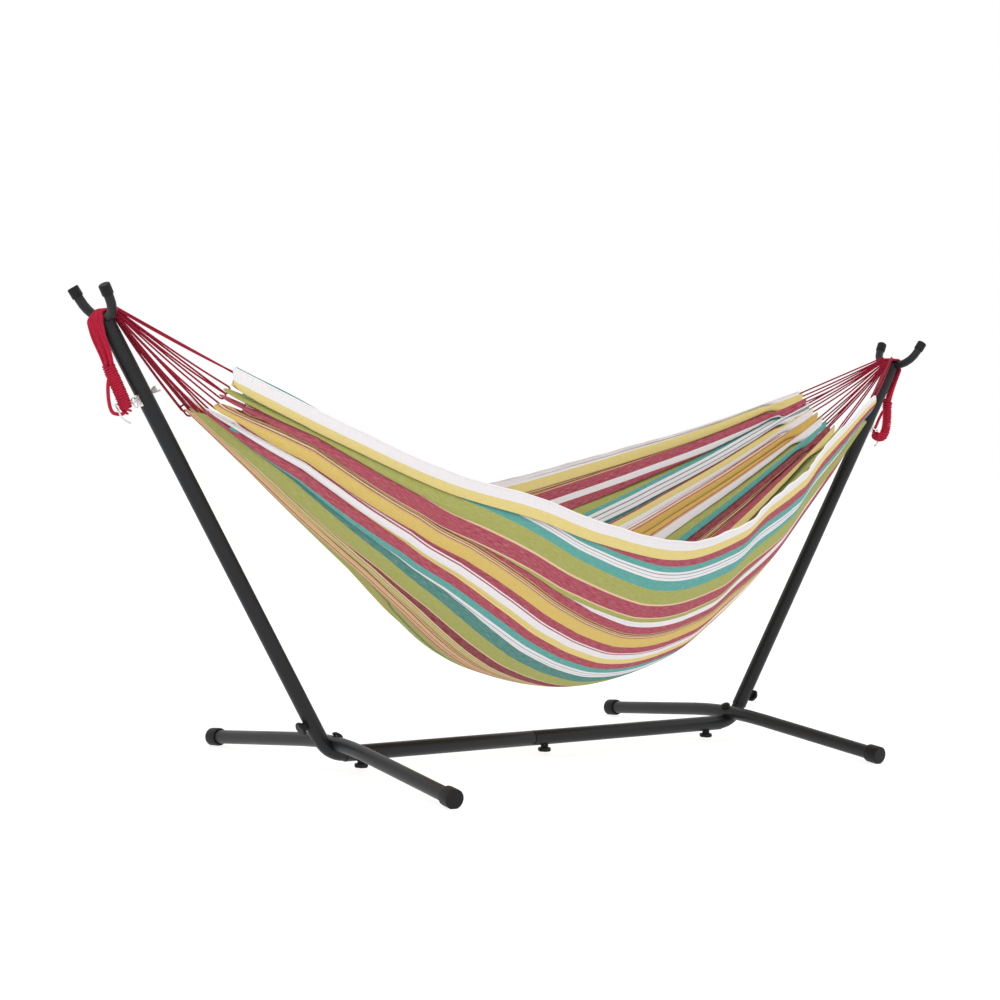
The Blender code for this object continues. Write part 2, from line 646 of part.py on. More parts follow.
# ---------------------------------------------------------------- rope work
def hank(name, side, mats):
    """The cords over the fork and down to the neck: a flat band that gathers to a round."""
    centre = on_upright(UPRIGHT_TOP_Z)
    over = FORK_R + 2 * GAP + HANK_THICK / 2
    path = [Vector((NOTCH_X + 0.003, 0, NOTCH_Z))]
    for degrees in (100, 75, 50, 25, 0):
        angle = math.radians(degrees)
        path.append(centre + Vector((math.cos(angle), 0, math.sin(angle))) * over)
    path += [Vector((x, 0, z)) for x, z in HANK_ROUTE[1:]]
    last = len(path) - 1
    bm = bmesh.new()
    rings = []
    sides = 16
    for i, point in enumerate(path):
        before, after = path[max(i - 1, 0)], path[min(i + 1, last)]
        tangent = (after - before).normalized()
        if i == 0:
            tangent = Vector((1, 0, 0))
        normal = tangent.cross(Vector((0, 1, 0))).normalized()
        t = min(max((i - 6) / (last - 6), 0.0), 1.0)
        half_wide = NOTCH_HALF + (0.0140 - NOTCH_HALF) * t * t
        half_thick = HANK_THICK / 2 + (0.0135 - HANK_THICK / 2) * t * t
        verts = []
        for k in range(sides):
            angle = 2 * math.pi * (k + 0.5) / sides
            # a rounded band: a superellipse across and through
            c, s = math.cos(angle), math.sin(angle)
            across = math.copysign(abs(c) ** 0.7, c) * half_wide
            through = math.copysign(abs(s) ** 0.7, s) * half_thick
            # the band follows the fork tube's upward curve
            lift = Vector((0, 0, 1) if i == 0 else UP) * (saddle_rise(across) * (1 - t))
            verts.append(bm.verts.new(mirrored(point + Vector((0, across, 0))
                                               + normal * -through + lift, side)))
        rings.append(verts)
    bridge(bm, rings)
    bm.faces.new(rings[0])
    bm.faces.new(rings[-1])
    new_object(name, bm, mats["cord"], mirrored(path[0], side))


def saddle_rise(y):
    """How far the fork tube's axis has risen at a distance from its middle."""
    beyond = max(abs(y) - FORK_FLAT, 0.0)
    return FORK_BEND_R - math.sqrt(FORK_BEND_R ** 2 - beyond ** 2)


def whipped_loop(name, side, mats):
    """The rope loop under the hank: a thick whipped leg and a bare leg, with an eye between."""
    leg_path = smooth_path([mirrored((x, 0, z), side) for x, z in LEG_ROUTE[side]], 2)
    leg = cutter(name + "_leg", solid_tube(leg_path, LEG_R, 8))
    whip = smooth_path([mirrored((x, 0, z), side) for x, z in WHIP_ROUTE[side]], 2)
    radii = [WHIP_R[side]] * len(whip)
    for i, radius in ((0, 0.0135), (1, 0.0150), (-5, 0.0150), (-4, 0.0125), (-3, 0.0100),
                      (-2, 0.0075), (-1, 0.0055)):
        radii[i] = radius
    obj = new_object(name, solid_tube(whip, radii, 12), mats["cord"], whip[0])
    boolean(obj, leg, "UNION")


# ---------------------------------------------------------------- cloth
def station(t):
    """The bed's edges and lowest line at a fraction of its half length, by a smooth curve."""
    first, second = BED_STATIONS[0], BED_STATIONS[1]
    last, before = BED_STATIONS[-1], BED_STATIONS[-2]
    rows = ([[2 * a - b for a, b in zip(first, second)]] + BED_STATIONS
            + [[2 * a - b for a, b in zip(last, before)]])
    i = 1
    while i < len(rows) - 3 and t > rows[i + 1][0]:
        i += 1
    x0, x1, x2, x3 = (rows[j][0] for j in (i - 1, i, i + 1, i + 2))
    u = (t - x1) / (x2 - x1)
    out = []
    for k in range(1, 7):
        p0, p1, p2, p3 = (rows[j][k] for j in (i - 1, i, i + 1, i + 2))
        m1 = (p2 - p0) / (x2 - x0) * (x2 - x1)
        m2 = (p3 - p1) / (x3 - x1) * (x2 - x1)
        out.append((2 * u ** 3 - 3 * u * u + 1) * p1 + (u ** 3 - 2 * u * u + u) * m1
                   + (-2 * u ** 3 + 3 * u * u) * p2 + (u ** 3 - u * u) * m2)
    return out


def bed_section(t, count):
    """Points across the bed at equal distances along the cloth, near edge first."""
    near_y, near_z, far_y, far_z, mid_y, mid_z = station(t)
    near_power = NEAR_POWER + (NEAR_POWER_RIGHT - NEAR_POWER) * max(t, 0.0)
    dense = []
    fine = 160
    for k in range(fine + 1):
        v = 2 * k / fine - 1
        edge_y, edge_z = (near_y, near_z) if v < 0 else (far_y, far_z)
        y = mid_y + (edge_y - mid_y) * abs(v)
        z = mid_z + (edge_z - mid_z) * abs(v) ** (near_power if v < 0 else FAR_POWER)
        x = t * (BED_HALF + BED_BULGE * (1 - v * v))
        dense.append(Vector((x, y, z)))
    lengths = [0.0]
    for a, b in zip(dense, dense[1:]):
        lengths.append(lengths[-1] + (b - a).length)
    out = []
    j = 0
    for k in range(count + 1):
        target = lengths[-1] * k / count
        while j < fine - 1 and lengths[j + 1] < target:
            j += 1
        span = lengths[j + 1] - lengths[j]
        out.append(dense[j].lerp(dense[j + 1], min((target - lengths[j]) / span, 1.0)))
    return out


def sheet_object(name, rows, thickness, mat, origin):
    """A closed thin shell from a grid of points."""
    bm = bmesh.new()
    grid = [[bm.verts.new(p) for p in row] for row in rows]
    for low, high in zip(grid, grid[1:]):
        for k in range(len(low) - 1):
            bm.faces.new((low[k], low[k + 1], high[k + 1], high[k]))
    obj = new_object(name, bm, mat, origin)
    mod = obj.modifiers.new("thickness", "SOLIDIFY")
    mod.thickness = thickness
    mod.offset = 0.0
    mod.use_even_offset = False
    return obj


def bed(mats):
    along = 24
    across = 16
    # stations sit closer together towards the ends, where the cloth gathers
    fractions = [math.copysign(abs(2 * k / along - 1) ** 0.85, 2 * k / along - 1)
                 for k in range(along + 1)]
    rows = [bed_section(t, across) for t in fractions]
    sheet_object("bed", rows, BED_THICK, mats["cloth"], (0, 0, NOTCH_Z))


def clew_cords(name, side, mats):
    """The fan of cords from the fork to the end of the cloth, as one plain shell."""
    across = 14
    edge = bed_section(side, across)
    rows = []
    for step in (0.0, 0.33, 0.66, 0.985):
        row = []
        for k, tip in enumerate(edge):
            y = (2 * k / across - 1) * NOTCH_HALF
            rise = saddle_rise(y)
            start = Vector((side * NOTCH_X, y, NOTCH_Z + rise))
            row.append(start.lerp(tip, step))
        rows.append(row)
    sheet_object(name, rows, FAN_THICK, mats["cord"], (side * NOTCH_X, 0, NOTCH_Z))


# ---------------------------------------------------------------- assembly
def main():
    clear_scene()
    mats = make_materials()
    base_tubes(mats)
    for suffix, side in (("left", -1), ("right", 1)):
        elbow("elbow_" + suffix, side, mats)
        upright("upright_" + suffix, side, mats)
        fork("fork_" + suffix, side, mats)
        crossbar("crossbar_" + suffix, side, mats)
        crossbar_fasteners(suffix, side, mats)
        for where, far in (("near", -1), ("far", 1)):
            foot_cap("foot_cap_%s_%s" % (suffix, where), side, far, mats)
            prong_cap("prong_cap_%s_%s" % (suffix, where), side, far, mats)
        eye_bolt("eye_bolt_" + suffix, side, mats)
        saddle_washer("saddle_washer_" + suffix, side, mats)
        wing_nut("wing_nut_" + suffix, side, mats)
        s_hook("s_hook_" + suffix, side, mats)
        hank("hank_" + suffix, side, mats)
        whipped_loop("whipped_loop_" + suffix, side, mats)
        clew_cords("clew_cords_" + suffix, side, mats)
    all_knobs(mats)
    bed(mats)


main()
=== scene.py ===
"""A striped hammock in its tube stand: the looks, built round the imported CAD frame.

Everything is in metres in the CAD's frame: +X along the base tube, +Y across, +Z up.
"""
import math

import bpy
import numpy as np
from mathutils import Matrix, Vector
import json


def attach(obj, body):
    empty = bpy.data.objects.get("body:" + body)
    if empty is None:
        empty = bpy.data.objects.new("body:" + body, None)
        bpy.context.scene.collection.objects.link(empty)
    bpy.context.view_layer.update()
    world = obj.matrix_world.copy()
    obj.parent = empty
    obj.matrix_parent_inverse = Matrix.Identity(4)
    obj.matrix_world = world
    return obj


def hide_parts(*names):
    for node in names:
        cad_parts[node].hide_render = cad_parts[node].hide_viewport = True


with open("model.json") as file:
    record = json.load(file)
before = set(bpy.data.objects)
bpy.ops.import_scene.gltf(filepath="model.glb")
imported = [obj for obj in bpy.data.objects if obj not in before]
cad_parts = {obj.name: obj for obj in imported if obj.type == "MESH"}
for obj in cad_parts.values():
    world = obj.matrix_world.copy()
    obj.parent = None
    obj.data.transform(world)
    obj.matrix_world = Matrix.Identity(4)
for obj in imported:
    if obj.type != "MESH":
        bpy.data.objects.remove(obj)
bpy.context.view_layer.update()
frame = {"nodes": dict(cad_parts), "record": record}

# ---------------------------------------------------------------- driving numbers (m)
STAND, HAMMOCK = "stand", "hammock"
SIDES = (("left", -1), ("right", 1))

# The camera: place, direction as yaw, pitch and a slight roll (degrees), focal length (mm)
CAMERA_PLACE = (-3.5818, -4.5282, 0.8635)
CAMERA_TURN = (36.946, -1.5438, 1.3817)
CAMERA_LENS = 74.56

# The upright's line and the fork across its top, as in the CAD. The line leaves the base's
# height at CORNER_X; the fork's tube is straight for FORK_FLAT each way, then bends up
UPRIGHT_ANGLE = math.radians(59.0)
CORNER_X, BASE_Z = 0.7128, 0.0483
SIN, COS = math.sin(UPRIGHT_ANGLE), math.cos(UPRIGHT_ANGLE)
UP = Vector((COS, 0, SIN))
FORK_R, FORK_FLAT, FORK_BEND_R, FORK_Z = 0.012, 0.020, 0.060, 1.145
NOTCH_X, NOTCH_Z = 1.3510, 1.1640       # where the cords come to the fork

# The bed's smooth shape. Each station: x / BED_HALF, near edge y z, far edge y z, lowest
# line y z. BED_BULGE is how much longer the lowest line is at each end
BED_HALF, BED_BULGE = 1.115, 0.025
BED_STATIONS = [
    (-1.00, -0.170, 1.035, 0.140, 0.985, -0.065, 0.935),
    (-0.76, -0.260, 0.905, 0.280, 0.890, -0.055, 0.710),
    (-0.55, -0.370, 0.795, 0.390, 0.820, -0.045, 0.515),
    (-0.36, -0.475, 0.730, 0.470, 0.765, -0.035, 0.325),
    (-0.22, -0.535, 0.670, 0.510, 0.735, -0.025, 0.245),
    (0.00, -0.570, 0.625, 0.545, 0.720, -0.015, 0.195),
    (0.22, -0.540, 0.675, 0.545, 0.755, -0.005, 0.235),
    (0.36, -0.470, 0.735, 0.505, 0.795, -0.005, 0.315),
    (0.55, -0.385, 0.815, 0.420, 0.860, -0.005, 0.460),
    (0.76, -0.250, 0.950, 0.300, 0.940, -0.015, 0.645),
    (1.00, -0.170, 1.040, 0.155, 1.055, -0.020, 0.935),
]
# how a wall rises from the lowest line: the power of the share of the way to its edge
FAR_POWER, NEAR_POWER, NEAR_POWER_RIGHT = 2.0, 2.3, 3.0
FLAT_WIDTH, FLAT_LENGTH = 1.560, 2.50      # the cloth as cut

# Cords
STRING_D = 0.0047            # one leg of the clew cords
STRAND_D = 0.0070            # a strand of the hank, three legs laid together
ROPE_D = 0.0090              # the rope of the loop
WHIP_WIRE = 0.0029           # radius of the whipping's cord
WHIP_PITCH = 0.0059
WHIP_R = {-1: 0.0165, 1: 0.0145}        # outside of the whipping
NECK_WRAP, NECK_R = 0.012, 0.0130       # the first turns, round the neck of the hank
WHIP_SHORT = {-1: 0.021, 1: 0.006}      # the whipping stops this far before the loop's end
STRAND_START = (NOTCH_X - 0.006, NOTCH_Z - 0.0015)
CORD_START = (NOTCH_X - 0.002, NOTCH_Z + 0.0040)
# Routes in the middle plane (x outwards, z), by side where they differ: the hank from the
# fork down to its neck, the whipped leg of the loop down to the S hook, and the bare leg
HANK_ROUTE = [(1.3968, 1.1320), (1.3930, 1.1150), (1.3835, 1.0900), (1.3665, 1.0550),
              (1.3525, 1.0190)]
WHIP_ROUTE = {
    -1: [(1.3500, 1.0140), (1.3425, 1.0000), (1.3330, 0.9820), (1.3200, 0.9560),
         (1.3100, 0.9340), (1.3090, 0.9240), (1.3170, 0.9145), (1.3300, 0.9130)],
    1: [(1.3528, 1.0120), (1.3535, 0.9940), (1.3530, 0.9600), (1.3480, 0.9360),
        (1.3360, 0.9180), (1.3220, 0.9150), (1.3060, 0.9180), (1.2930, 0.9270)]}
LEG_ROUTE = {
    -1: [(1.3480, 1.0050), (1.3560, 0.9900), (1.3560, 0.9600), (1.3510, 0.9320),
         (1.3430, 0.9170), (1.3300, 0.9130)],
    1: [(1.3480, 1.0070), (1.3310, 0.9920), (1.3170, 0.9720), (1.3050, 0.9500),
        (1.2975, 0.9380), (1.2940, 0.9270)]}


# ---------------------------------------------------------------- camera
def make_camera():
    """The camera: in front of the left end, about as high as the bed's walls."""
    yaw, pitch, roll = (math.radians(a) for a in CAMERA_TURN)
    forward = Vector((math.sin(yaw) * math.cos(pitch), math.cos(yaw) * math.cos(pitch),
                      math.sin(pitch)))
    level = Vector((math.cos(yaw), -math.sin(yaw), 0))
    upward = level.cross(forward)
    right = level * math.cos(roll) + upward * math.sin(roll)
    top = upward * math.cos(roll) - level * math.sin(roll)
    data = bpy.data.cameras.new("camera")
    data.sensor_width = 36.0
    data.lens = CAMERA_LENS
    data.clip_start, data.clip_end = 0.1, 100.0
    camera = bpy.data.objects.new("camera", data)
    bpy.context.scene.collection.objects.link(camera)
    turn = Matrix((right, top, -forward)).transposed().to_4x4()
    camera.matrix_world = Matrix.Translation(CAMERA_PLACE) @ turn
    bpy.context.scene.camera = camera


make_camera()


# ---------------------------------------------------------------- material helpers
def colour(r, g, b):
    """sRGB 0-255 to the linear colour that nodes use."""
    out = []
    for v in (r, g, b):
        v /= 255.0
        out.append(v / 12.92 if v <= 0.04045 else ((v + 0.055) / 1.055) ** 2.4)
    return (*out, 1.0)


class Nodes:
    """A material's node tree, with one short call for each kind of node."""

    def __init__(self, name):
        self.material = bpy.data.materials.new(name)
        self.material.use_nodes = True
        self.tree = self.material.node_tree
        self.shader = self.tree.nodes["Principled BSDF"]

    def add(self, kind, **settings):
        node = self.tree.nodes.new("ShaderNode" + kind)
        for key, value in settings.items():
            setattr(node, key, value)
        return node

    def put(self, socket, value):
        """A link if value is a socket, else the socket's own number or colour."""
        if isinstance(value, bpy.types.NodeSocket):
            self.tree.links.new(value, socket)
        else:
            socket.default_value = value

    def math(self, operation, a, b=0.0):
        node = self.add("Math", operation=operation)
        self.put(node.inputs[0], a)
        self.put(node.inputs[1], b)
        return node.outputs[0]

    def remap(self, value, low, high, to_low=0.0, to_high=1.0):
        """value's range low to high spread over to_low to to_high, and clamped to it."""
        node = self.add("MapRange")
        for i, v in enumerate((value, low, high, to_low, to_high)):
            self.put(node.inputs[i], v)
        return node.outputs[0]

    def mix(self, factor, a, b, blend="MIX"):
        node = self.add("Mix", data_type="RGBA", blend_type=blend)
        self.put(node.inputs[0], factor)
        self.put(node.inputs[6], a)
        self.put(node.inputs[7], b)
        return node.outputs[2]

    def noise(self, vector, scale, detail=3.0, roughness=0.5):
        node = self.add("TexNoise")
        self.put(node.inputs["Vector"], vector)
        for key, value in (("Scale", scale), ("Detail", detail), ("Roughness", roughness)):
            node.inputs[key].default_value = value
        return node.outputs["Fac"]

    def stretched(self, vector, scale):
        node = self.add("Mapping")
        self.put(node.inputs["Vector"], vector)
        node.inputs["Scale"].default_value = scale
        return node.outputs[0]

    def place(self):
        """The point on the object, in metres."""
        return self.add("TexCoord").outputs["Object"]

    def uv(self, name):
        """The named UV layer, whose units are metres, as its two numbers and its vector."""
        node = self.add("UVMap", uv_map=name)
        parts = self.add("SeparateXYZ")
        self.put(parts.inputs[0], node.outputs[0])
        return parts.outputs[0], parts.outputs[1], node.outputs[0]

    def bump(self, height, distance, strength=1.0):
        node = self.add("Bump")
        self.put(node.inputs["Height"], height)
        node.inputs["Distance"].default_value = distance
        node.inputs["Strength"].default_value = strength
        self.put(self.shader.inputs["Normal"], node.outputs[0])

    def surface(self, **sockets):
        """Fills the shader's sockets, named with _ for a space, and gives the material."""
        for key, value in sockets.items():
            self.put(self.shader.inputs[key.replace("_", " ")], value)
        return self.material


# ---------------------------------------------------------------- hard materials
def powder_coat(name, base, roughness):
    """Satin powder coat: a fine orange peel, faint dust and softly uneven gloss."""
    n = Nodes(name)
    place = n.place()
    peel = n.noise(place, 420.0, 2.0)
    cloud = n.noise(place, 9.0, 4.0)
    tone = n.mix(n.remap(cloud, 0.3, 0.7, 0.0, 0.35), colour(*base),
                 colour(*[v + 9 for v in base]))
    n.bump(peel, 0.00025, 0.35)
    return n.surface(Base_Color=tone, Metallic=0.0, Specular_IOR_Level=0.24,
                     Roughness=n.remap(cloud, 0.3, 0.7, roughness - 0.05, roughness + 0.07))


def moulded_plastic(name, base):
    """Matte moulded plastic: a spark-eroded grain with faint scuffs."""
    n = Nodes(name)
    place = n.place()
    grain = n.noise(place, 1100.0, 1.0)
    scuff = n.noise(n.stretched(place, (30, 30, 160)), 1.0, 5.0, 0.7)
    tone = n.mix(n.remap(scuff, 0.55, 0.8, 0.0, 0.5), colour(*base),
                 colour(*[v + 14 for v in base]))
    n.bump(grain, 0.0002, 0.5)
    return n.surface(Base_Color=tone, Specular_IOR_Level=0.22,
                     Roughness=n.remap(scuff, 0.3, 0.8, 0.44, 0.6))


def zinc_plate(name):
    """Bright zinc: faint drawing lines and a cloudy, slightly blue passivation."""
    n = Nodes(name)
    place = n.place()
    cloud = n.noise(place, 160.0, 4.0)
    lines = n.noise(n.stretched(place, (300, 300, 1800)), 1.0, 2.0)
    tone = n.mix(n.remap(cloud, 0.3, 0.7), colour(205, 205, 200), colour(232, 234, 238))
    n.bump(lines, 0.00008, 0.4)
    return n.surface(Base_Color=tone, Metallic=1.0,
                     Roughness=n.remap(cloud, 0.3, 0.7, 0.2, 0.36))


# ---------------------------------------------------------------- rope and cloth materials
def rope(name, base, groove_shade_and_dark_tone, light, strands, pitch):
    """Laid cord: strands that wind round it, with painted shade in their grooves, and stray
    fibres.
    """
    n = Nodes(name)
    along, around, vector = n.uv("lay")
    turn = n.math("ADD", n.math("MULTIPLY", around, float(strands)),
                  n.math("DIVIDE", along, pitch))
    ridge = n.math("PINGPONG", turn, 0.5)
    ridge = n.math("MULTIPLY", ridge, 2.0)
    fibre = n.noise(n.stretched(vector, (900, 60, 1)), 1.0, 3.0, 0.7)
    long_tone = n.noise(n.stretched(vector, (14, 1, 1)), 1.0, 2.0)
    # painted shade: the grooves between the strands are darkened
    tone = n.mix(n.remap(ridge, 0.0, 0.45, 0.45, 1.0), colour(*groove_shade_and_dark_tone), colour(*base))
    tone = n.mix(n.remap(fibre, 0.5, 0.8, 0.0, 0.35), tone, colour(*light))
    # random darker stretches along the cord
    tone = n.mix(n.remap(long_tone, 0.35, 0.7, 0.0, 0.25), tone, colour(*groove_shade_and_dark_tone))
    height = n.math("ADD", ridge, n.math("MULTIPLY", fibre, 0.3))
    n.bump(height, 0.0004, 0.5)
    return n.surface(Base_Color=tone, Roughness=0.75, Specular_IOR_Level=0.15,
                     Sheen_Weight=0.05, Sheen_Roughness=0.5)


# Yarn colours
WHITE, YELLOW, MUSTARD = (242, 238, 241), (232, 212, 132), (218, 178, 84)
RED, DEEP_RED, TEAL, DEEP_TEAL = (172, 64, 84), (138, 40, 54), (82, 168, 160), (68, 134, 126)
OLIVE, GREEN, CREAM, TAN = (168, 170, 84), (112, 126, 58), (232, 200, 160), (216, 172, 112)
BROWN, GREY, ORANGE = (112, 54, 44), (122, 146, 152), (214, 142, 74)
AMBER, SAND = (222, 190, 98), (222, 184, 124)
WHITE_GROUP = [(10, WHITE), (3, GREY), (11, WHITE), (3, GREY), (11, WHITE)]
PINS = [(3, TAN), (3, BROWN), (3, TAN), (3, BROWN), (3, CREAM), (3, BROWN), (3, TAN)]
# The warp's stripes, in millimetres from the near selvedge to the far one
STRIPES = (
    [(27, WHITE), (28, YELLOW), (28, RED), (24, TEAL)] + WHITE_GROUP
    + [(42, TEAL), (48, OLIVE), (5, CREAM), (41, RED), (4, CREAM), (13, OLIVE),
       (22, WHITE), (26, RED)] + PINS
    + [(34, AMBER), (26, RED), (3, WHITE), (4, RED), (20, WHITE), (24, YELLOW),
       (26, RED), (22, TEAL), (9, WHITE), (2, GREY), (9, WHITE), (2, GREY), (9, WHITE),
       (36, DEEP_TEAL), (50, OLIVE), (5, CREAM), (38, DEEP_RED), (5, CREAM),
       (4, OLIVE), (3, CREAM), (5, OLIVE), (3, CREAM), (6, OLIVE), (4, ORANGE)] + PINS
    + [(8, SAND), (4, CREAM), (4, RED), (9, SAND), (3, DEEP_RED), (5, CREAM), (10, RED),
       (8, SAND), (3, BROWN), (7, SAND), (4, BROWN), (26, OLIVE), (16, GREEN), (30, OLIVE),
       (14, GREEN), (40, YELLOW), (30, RED), (34, MUSTARD)]
    + PINS
    + [(34, DEEP_RED), (26, TEAL), (46, OLIVE), (40, WHITE), (5, TAN), (4, RED),
       (50, MUSTARD), (3, RED), (8, CREAM), (4, RED), (28, WHITE), (20, YELLOW),
       (6, RED), (22, DEEP_TEAL)] + WHITE_GROUP
    + [(14, TEAL), (42, OLIVE), (4, CREAM), (34, RED), (20, WHITE), (32, RED)] + PINS
    + [(30, YELLOW), (27, WHITE)])
RAMP_STOPS = 30
CLOTH_TONE = 0.88            # the yarn colours above are as seen in full light


def striped_cloth(name):
    """Plain-weave cotton: warp stripes, heathered yarns and a thread-scale weave."""
    n = Nodes(name)
    along, across, vector = n.uv("cloth")
    wobble = n.noise(n.stretched(vector, (9, 40, 1)), 1.0, 2.0)
    yarn = n.math("ADD", across, n.math("MULTIPLY", n.math("SUBTRACT", wobble, 0.5), 0.0018))
    total = sum(width for width, _ in STRIPES)
    edge, stripes = 0.0, []
    for width, tint in STRIPES:
        stripes.append((edge * FLAT_WIDTH / total, tint))
        edge += width
    tone = None
    for start in range(0, len(stripes), RAMP_STOPS):
        block = stripes[start:start + RAMP_STOPS]
        first = block[0][0]
        after = start + RAMP_STOPS
        last = stripes[after][0] if after < len(stripes) else FLAT_WIDTH
        ramp = n.add("ValToRGB")
        ramp.color_ramp.interpolation = "CONSTANT"
        n.put(ramp.inputs[0], n.remap(yarn, first, last))
        elements = ramp.color_ramp.elements
        for i, (position, tint) in enumerate(block):
            place = (position - first) / (last - first)
            element = elements[i] if i < 2 else elements.new(place)
            element.position = place
            element.color = colour(*tint)
        if tone is None:
            tone = ramp.outputs[0]
        else:
            tone = n.mix(n.math("GREATER_THAN", yarn, first), tone, ramp.outputs[0])
    # heather: single yarns of a lighter and a darker dye, a few centimetres long
    heather = n.noise(n.stretched(vector, (45, 850, 1)), 1.0, 2.0, 0.6)
    cross = n.noise(n.stretched(vector, (850, 45, 1)), 1.0, 2.0, 0.6)
    tone = n.mix(n.remap(heather, 0.42, 0.75, 0.0, 0.22), tone, colour(250, 244, 238))
    tone = n.mix(n.remap(cross, 0.45, 0.75, 0.0, 0.10), tone, colour(90, 60, 62))
    tone = n.mix(1.0, tone, (CLOTH_TONE, CLOTH_TONE, CLOTH_TONE, 1.0), "MULTIPLY")
    weave = None
    for value, pitch in ((along, 0.0017), (across, 0.0014)):
        thread = n.math("SINE", n.math("MULTIPLY", value, 2 * math.pi / pitch))
        weave = thread if weave is None else n.math("MULTIPLY", weave, thread)
    height = n.math("ADD", n.math("MULTIPLY", weave, 0.35), n.math("ADD", heather, cross))
    n.bump(height, 0.0007, 0.6)
    return n.surface(Base_Color=tone, Roughness=0.92, Specular_IOR_Level=0.08,
                     Sheen_Weight=0.04, Sheen_Roughness=0.6)


CRIMSON = rope("crimson_cord", (152, 14, 46), (88, 4, 24), (194, 54, 84), 2, 0.012)
CRIMSON_ROPE = rope("crimson_rope", (182, 22, 54), (104, 6, 28), (216, 70, 98), 3, 0.020)
CLOTH = striped_cloth("striped_cloth")
SELVEDGE = rope("selvedge", (238, 234, 234), (206, 200, 200), (252, 250, 250), 1, 0.006)


# ---------------------------------------------------------------- mesh helpers
def mesh_object(name, points, faces, uvs, layer, material, body):
    """A smooth-shaded piece on a body. uvs holds one pair for each point."""
    mesh = bpy.data.meshes.new(name)
    mesh.from_pydata([tuple(p) for p in points], [], faces)
    mesh.validate()
    for polygon in mesh.polygons:
        polygon.use_smooth = True
    data = mesh.uv_layers.new(name=layer).data
    for loop in mesh.loops:
        data[loop.index].uv = uvs[loop.vertex_index]
    mesh.materials.append(material)
    obj = bpy.data.objects.new(name, mesh)
    bpy.context.scene.collection.objects.link(obj)
    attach(obj, body)
    return obj


SPAN_STEPS = 6


def smooth_path(points):
    """A Catmull-Rom curve through the points, SPAN_STEPS steps from each to the next."""
    points = [Vector(p) for p in points]
    ends = [2 * points[0] - points[1]] + points + [2 * points[-1] - points[-2]]
    out = []
    for i in range(1, len(ends) - 2):
        p0, p1, p2, p3 = ends[i - 1:i + 3]
        for k in range(SPAN_STEPS):
            u = k / SPAN_STEPS
            out.append(0.5 * ((2 * p1) + (p2 - p0) * u
                              + (2 * p0 - 5 * p1 + 4 * p2 - p3) * u * u
                              + (3 * p1 - p0 - 3 * p2 + p3) * u ** 3))
    return out + [points[-1]]


def turned_frames(path):
    """(point, normal, binormal) along a path, without twist."""
    tangents = []
    for i in range(len(path)):
        a, b = path[max(i - 1, 0)], path[min(i + 1, len(path) - 1)]
        tangents.append((b - a).normalized())
    normal = tangents[0].orthogonal().normalized()
    frames = []
    for point, tangent in zip(path, tangents):
        normal = (normal - tangent * normal.dot(tangent)).normalized()
        frames.append((point, normal, tangent.cross(normal)))
    return frames


def tube(name, path, radius, material, body, sides=8, flat=1.0):
    """A tube with capped ends. flat below 1 makes it an oval."""
    points, uvs, faces = [], [], []
    run = 0.0
    row = sides + 1             # the seam's points are doubled for the UVs
    for i, (centre, normal, binormal) in enumerate(turned_frames(path)):
        if i:
            run += (path[i] - path[i - 1]).length
        for k in range(row):
            angle = 2 * math.pi * k / sides
            points.append(centre + (normal * math.cos(angle)
                                    + binormal * (math.sin(angle) * flat)) * radius)
            uvs.append((run, k / sides))
    for i in range(len(path) - 1):
        for k in range(sides):
            a = i * row + k
            faces.append((a, a + 1, a + row + 1, a + row))
    faces.append(tuple(range(sides - 1, -1, -1)))
    last = (len(path) - 1) * row
    faces.append(tuple(range(last, last + sides)))
    return mesh_object(name, points, faces, uvs, "lay", material, body)


# ---------------------------------------------------------------- the cloth's shape
def station(t):
    """The bed's edges and lowest line at a fraction t of its half length, by a smooth curve."""
    first, second = BED_STATIONS[0], BED_STATIONS[1]
    last, before = BED_STATIONS[-1], BED_STATIONS[-2]
    rows = ([[2 * a - b for a, b in zip(first, second)]] + BED_STATIONS
            + [[2 * a - b for a, b in zip(last, before)]])
    i = 1
    while i < len(rows) - 3 and t > rows[i + 1][0]:
        i += 1
    x0, x1, x2, x3 = (rows[j][0] for j in (i - 1, i, i + 1, i + 2))
    u = (t - x1) / (x2 - x1)
    out = []
    for k in range(1, 7):
        p0, p1, p2, p3 = (rows[j][k] for j in (i - 1, i, i + 1, i + 2))
        m1 = (p2 - p0) / (x2 - x0) * (x2 - x1)
        m2 = (p3 - p1) / (x3 - x1) * (x2 - x1)
        out.append((2 * u ** 3 - 3 * u * u + 1) * p1 + (u ** 3 - 2 * u * u + u) * m1
                   + (-2 * u ** 3 + 3 * u * u) * p2 + (u ** 3 - u * u) * m2)
    return out


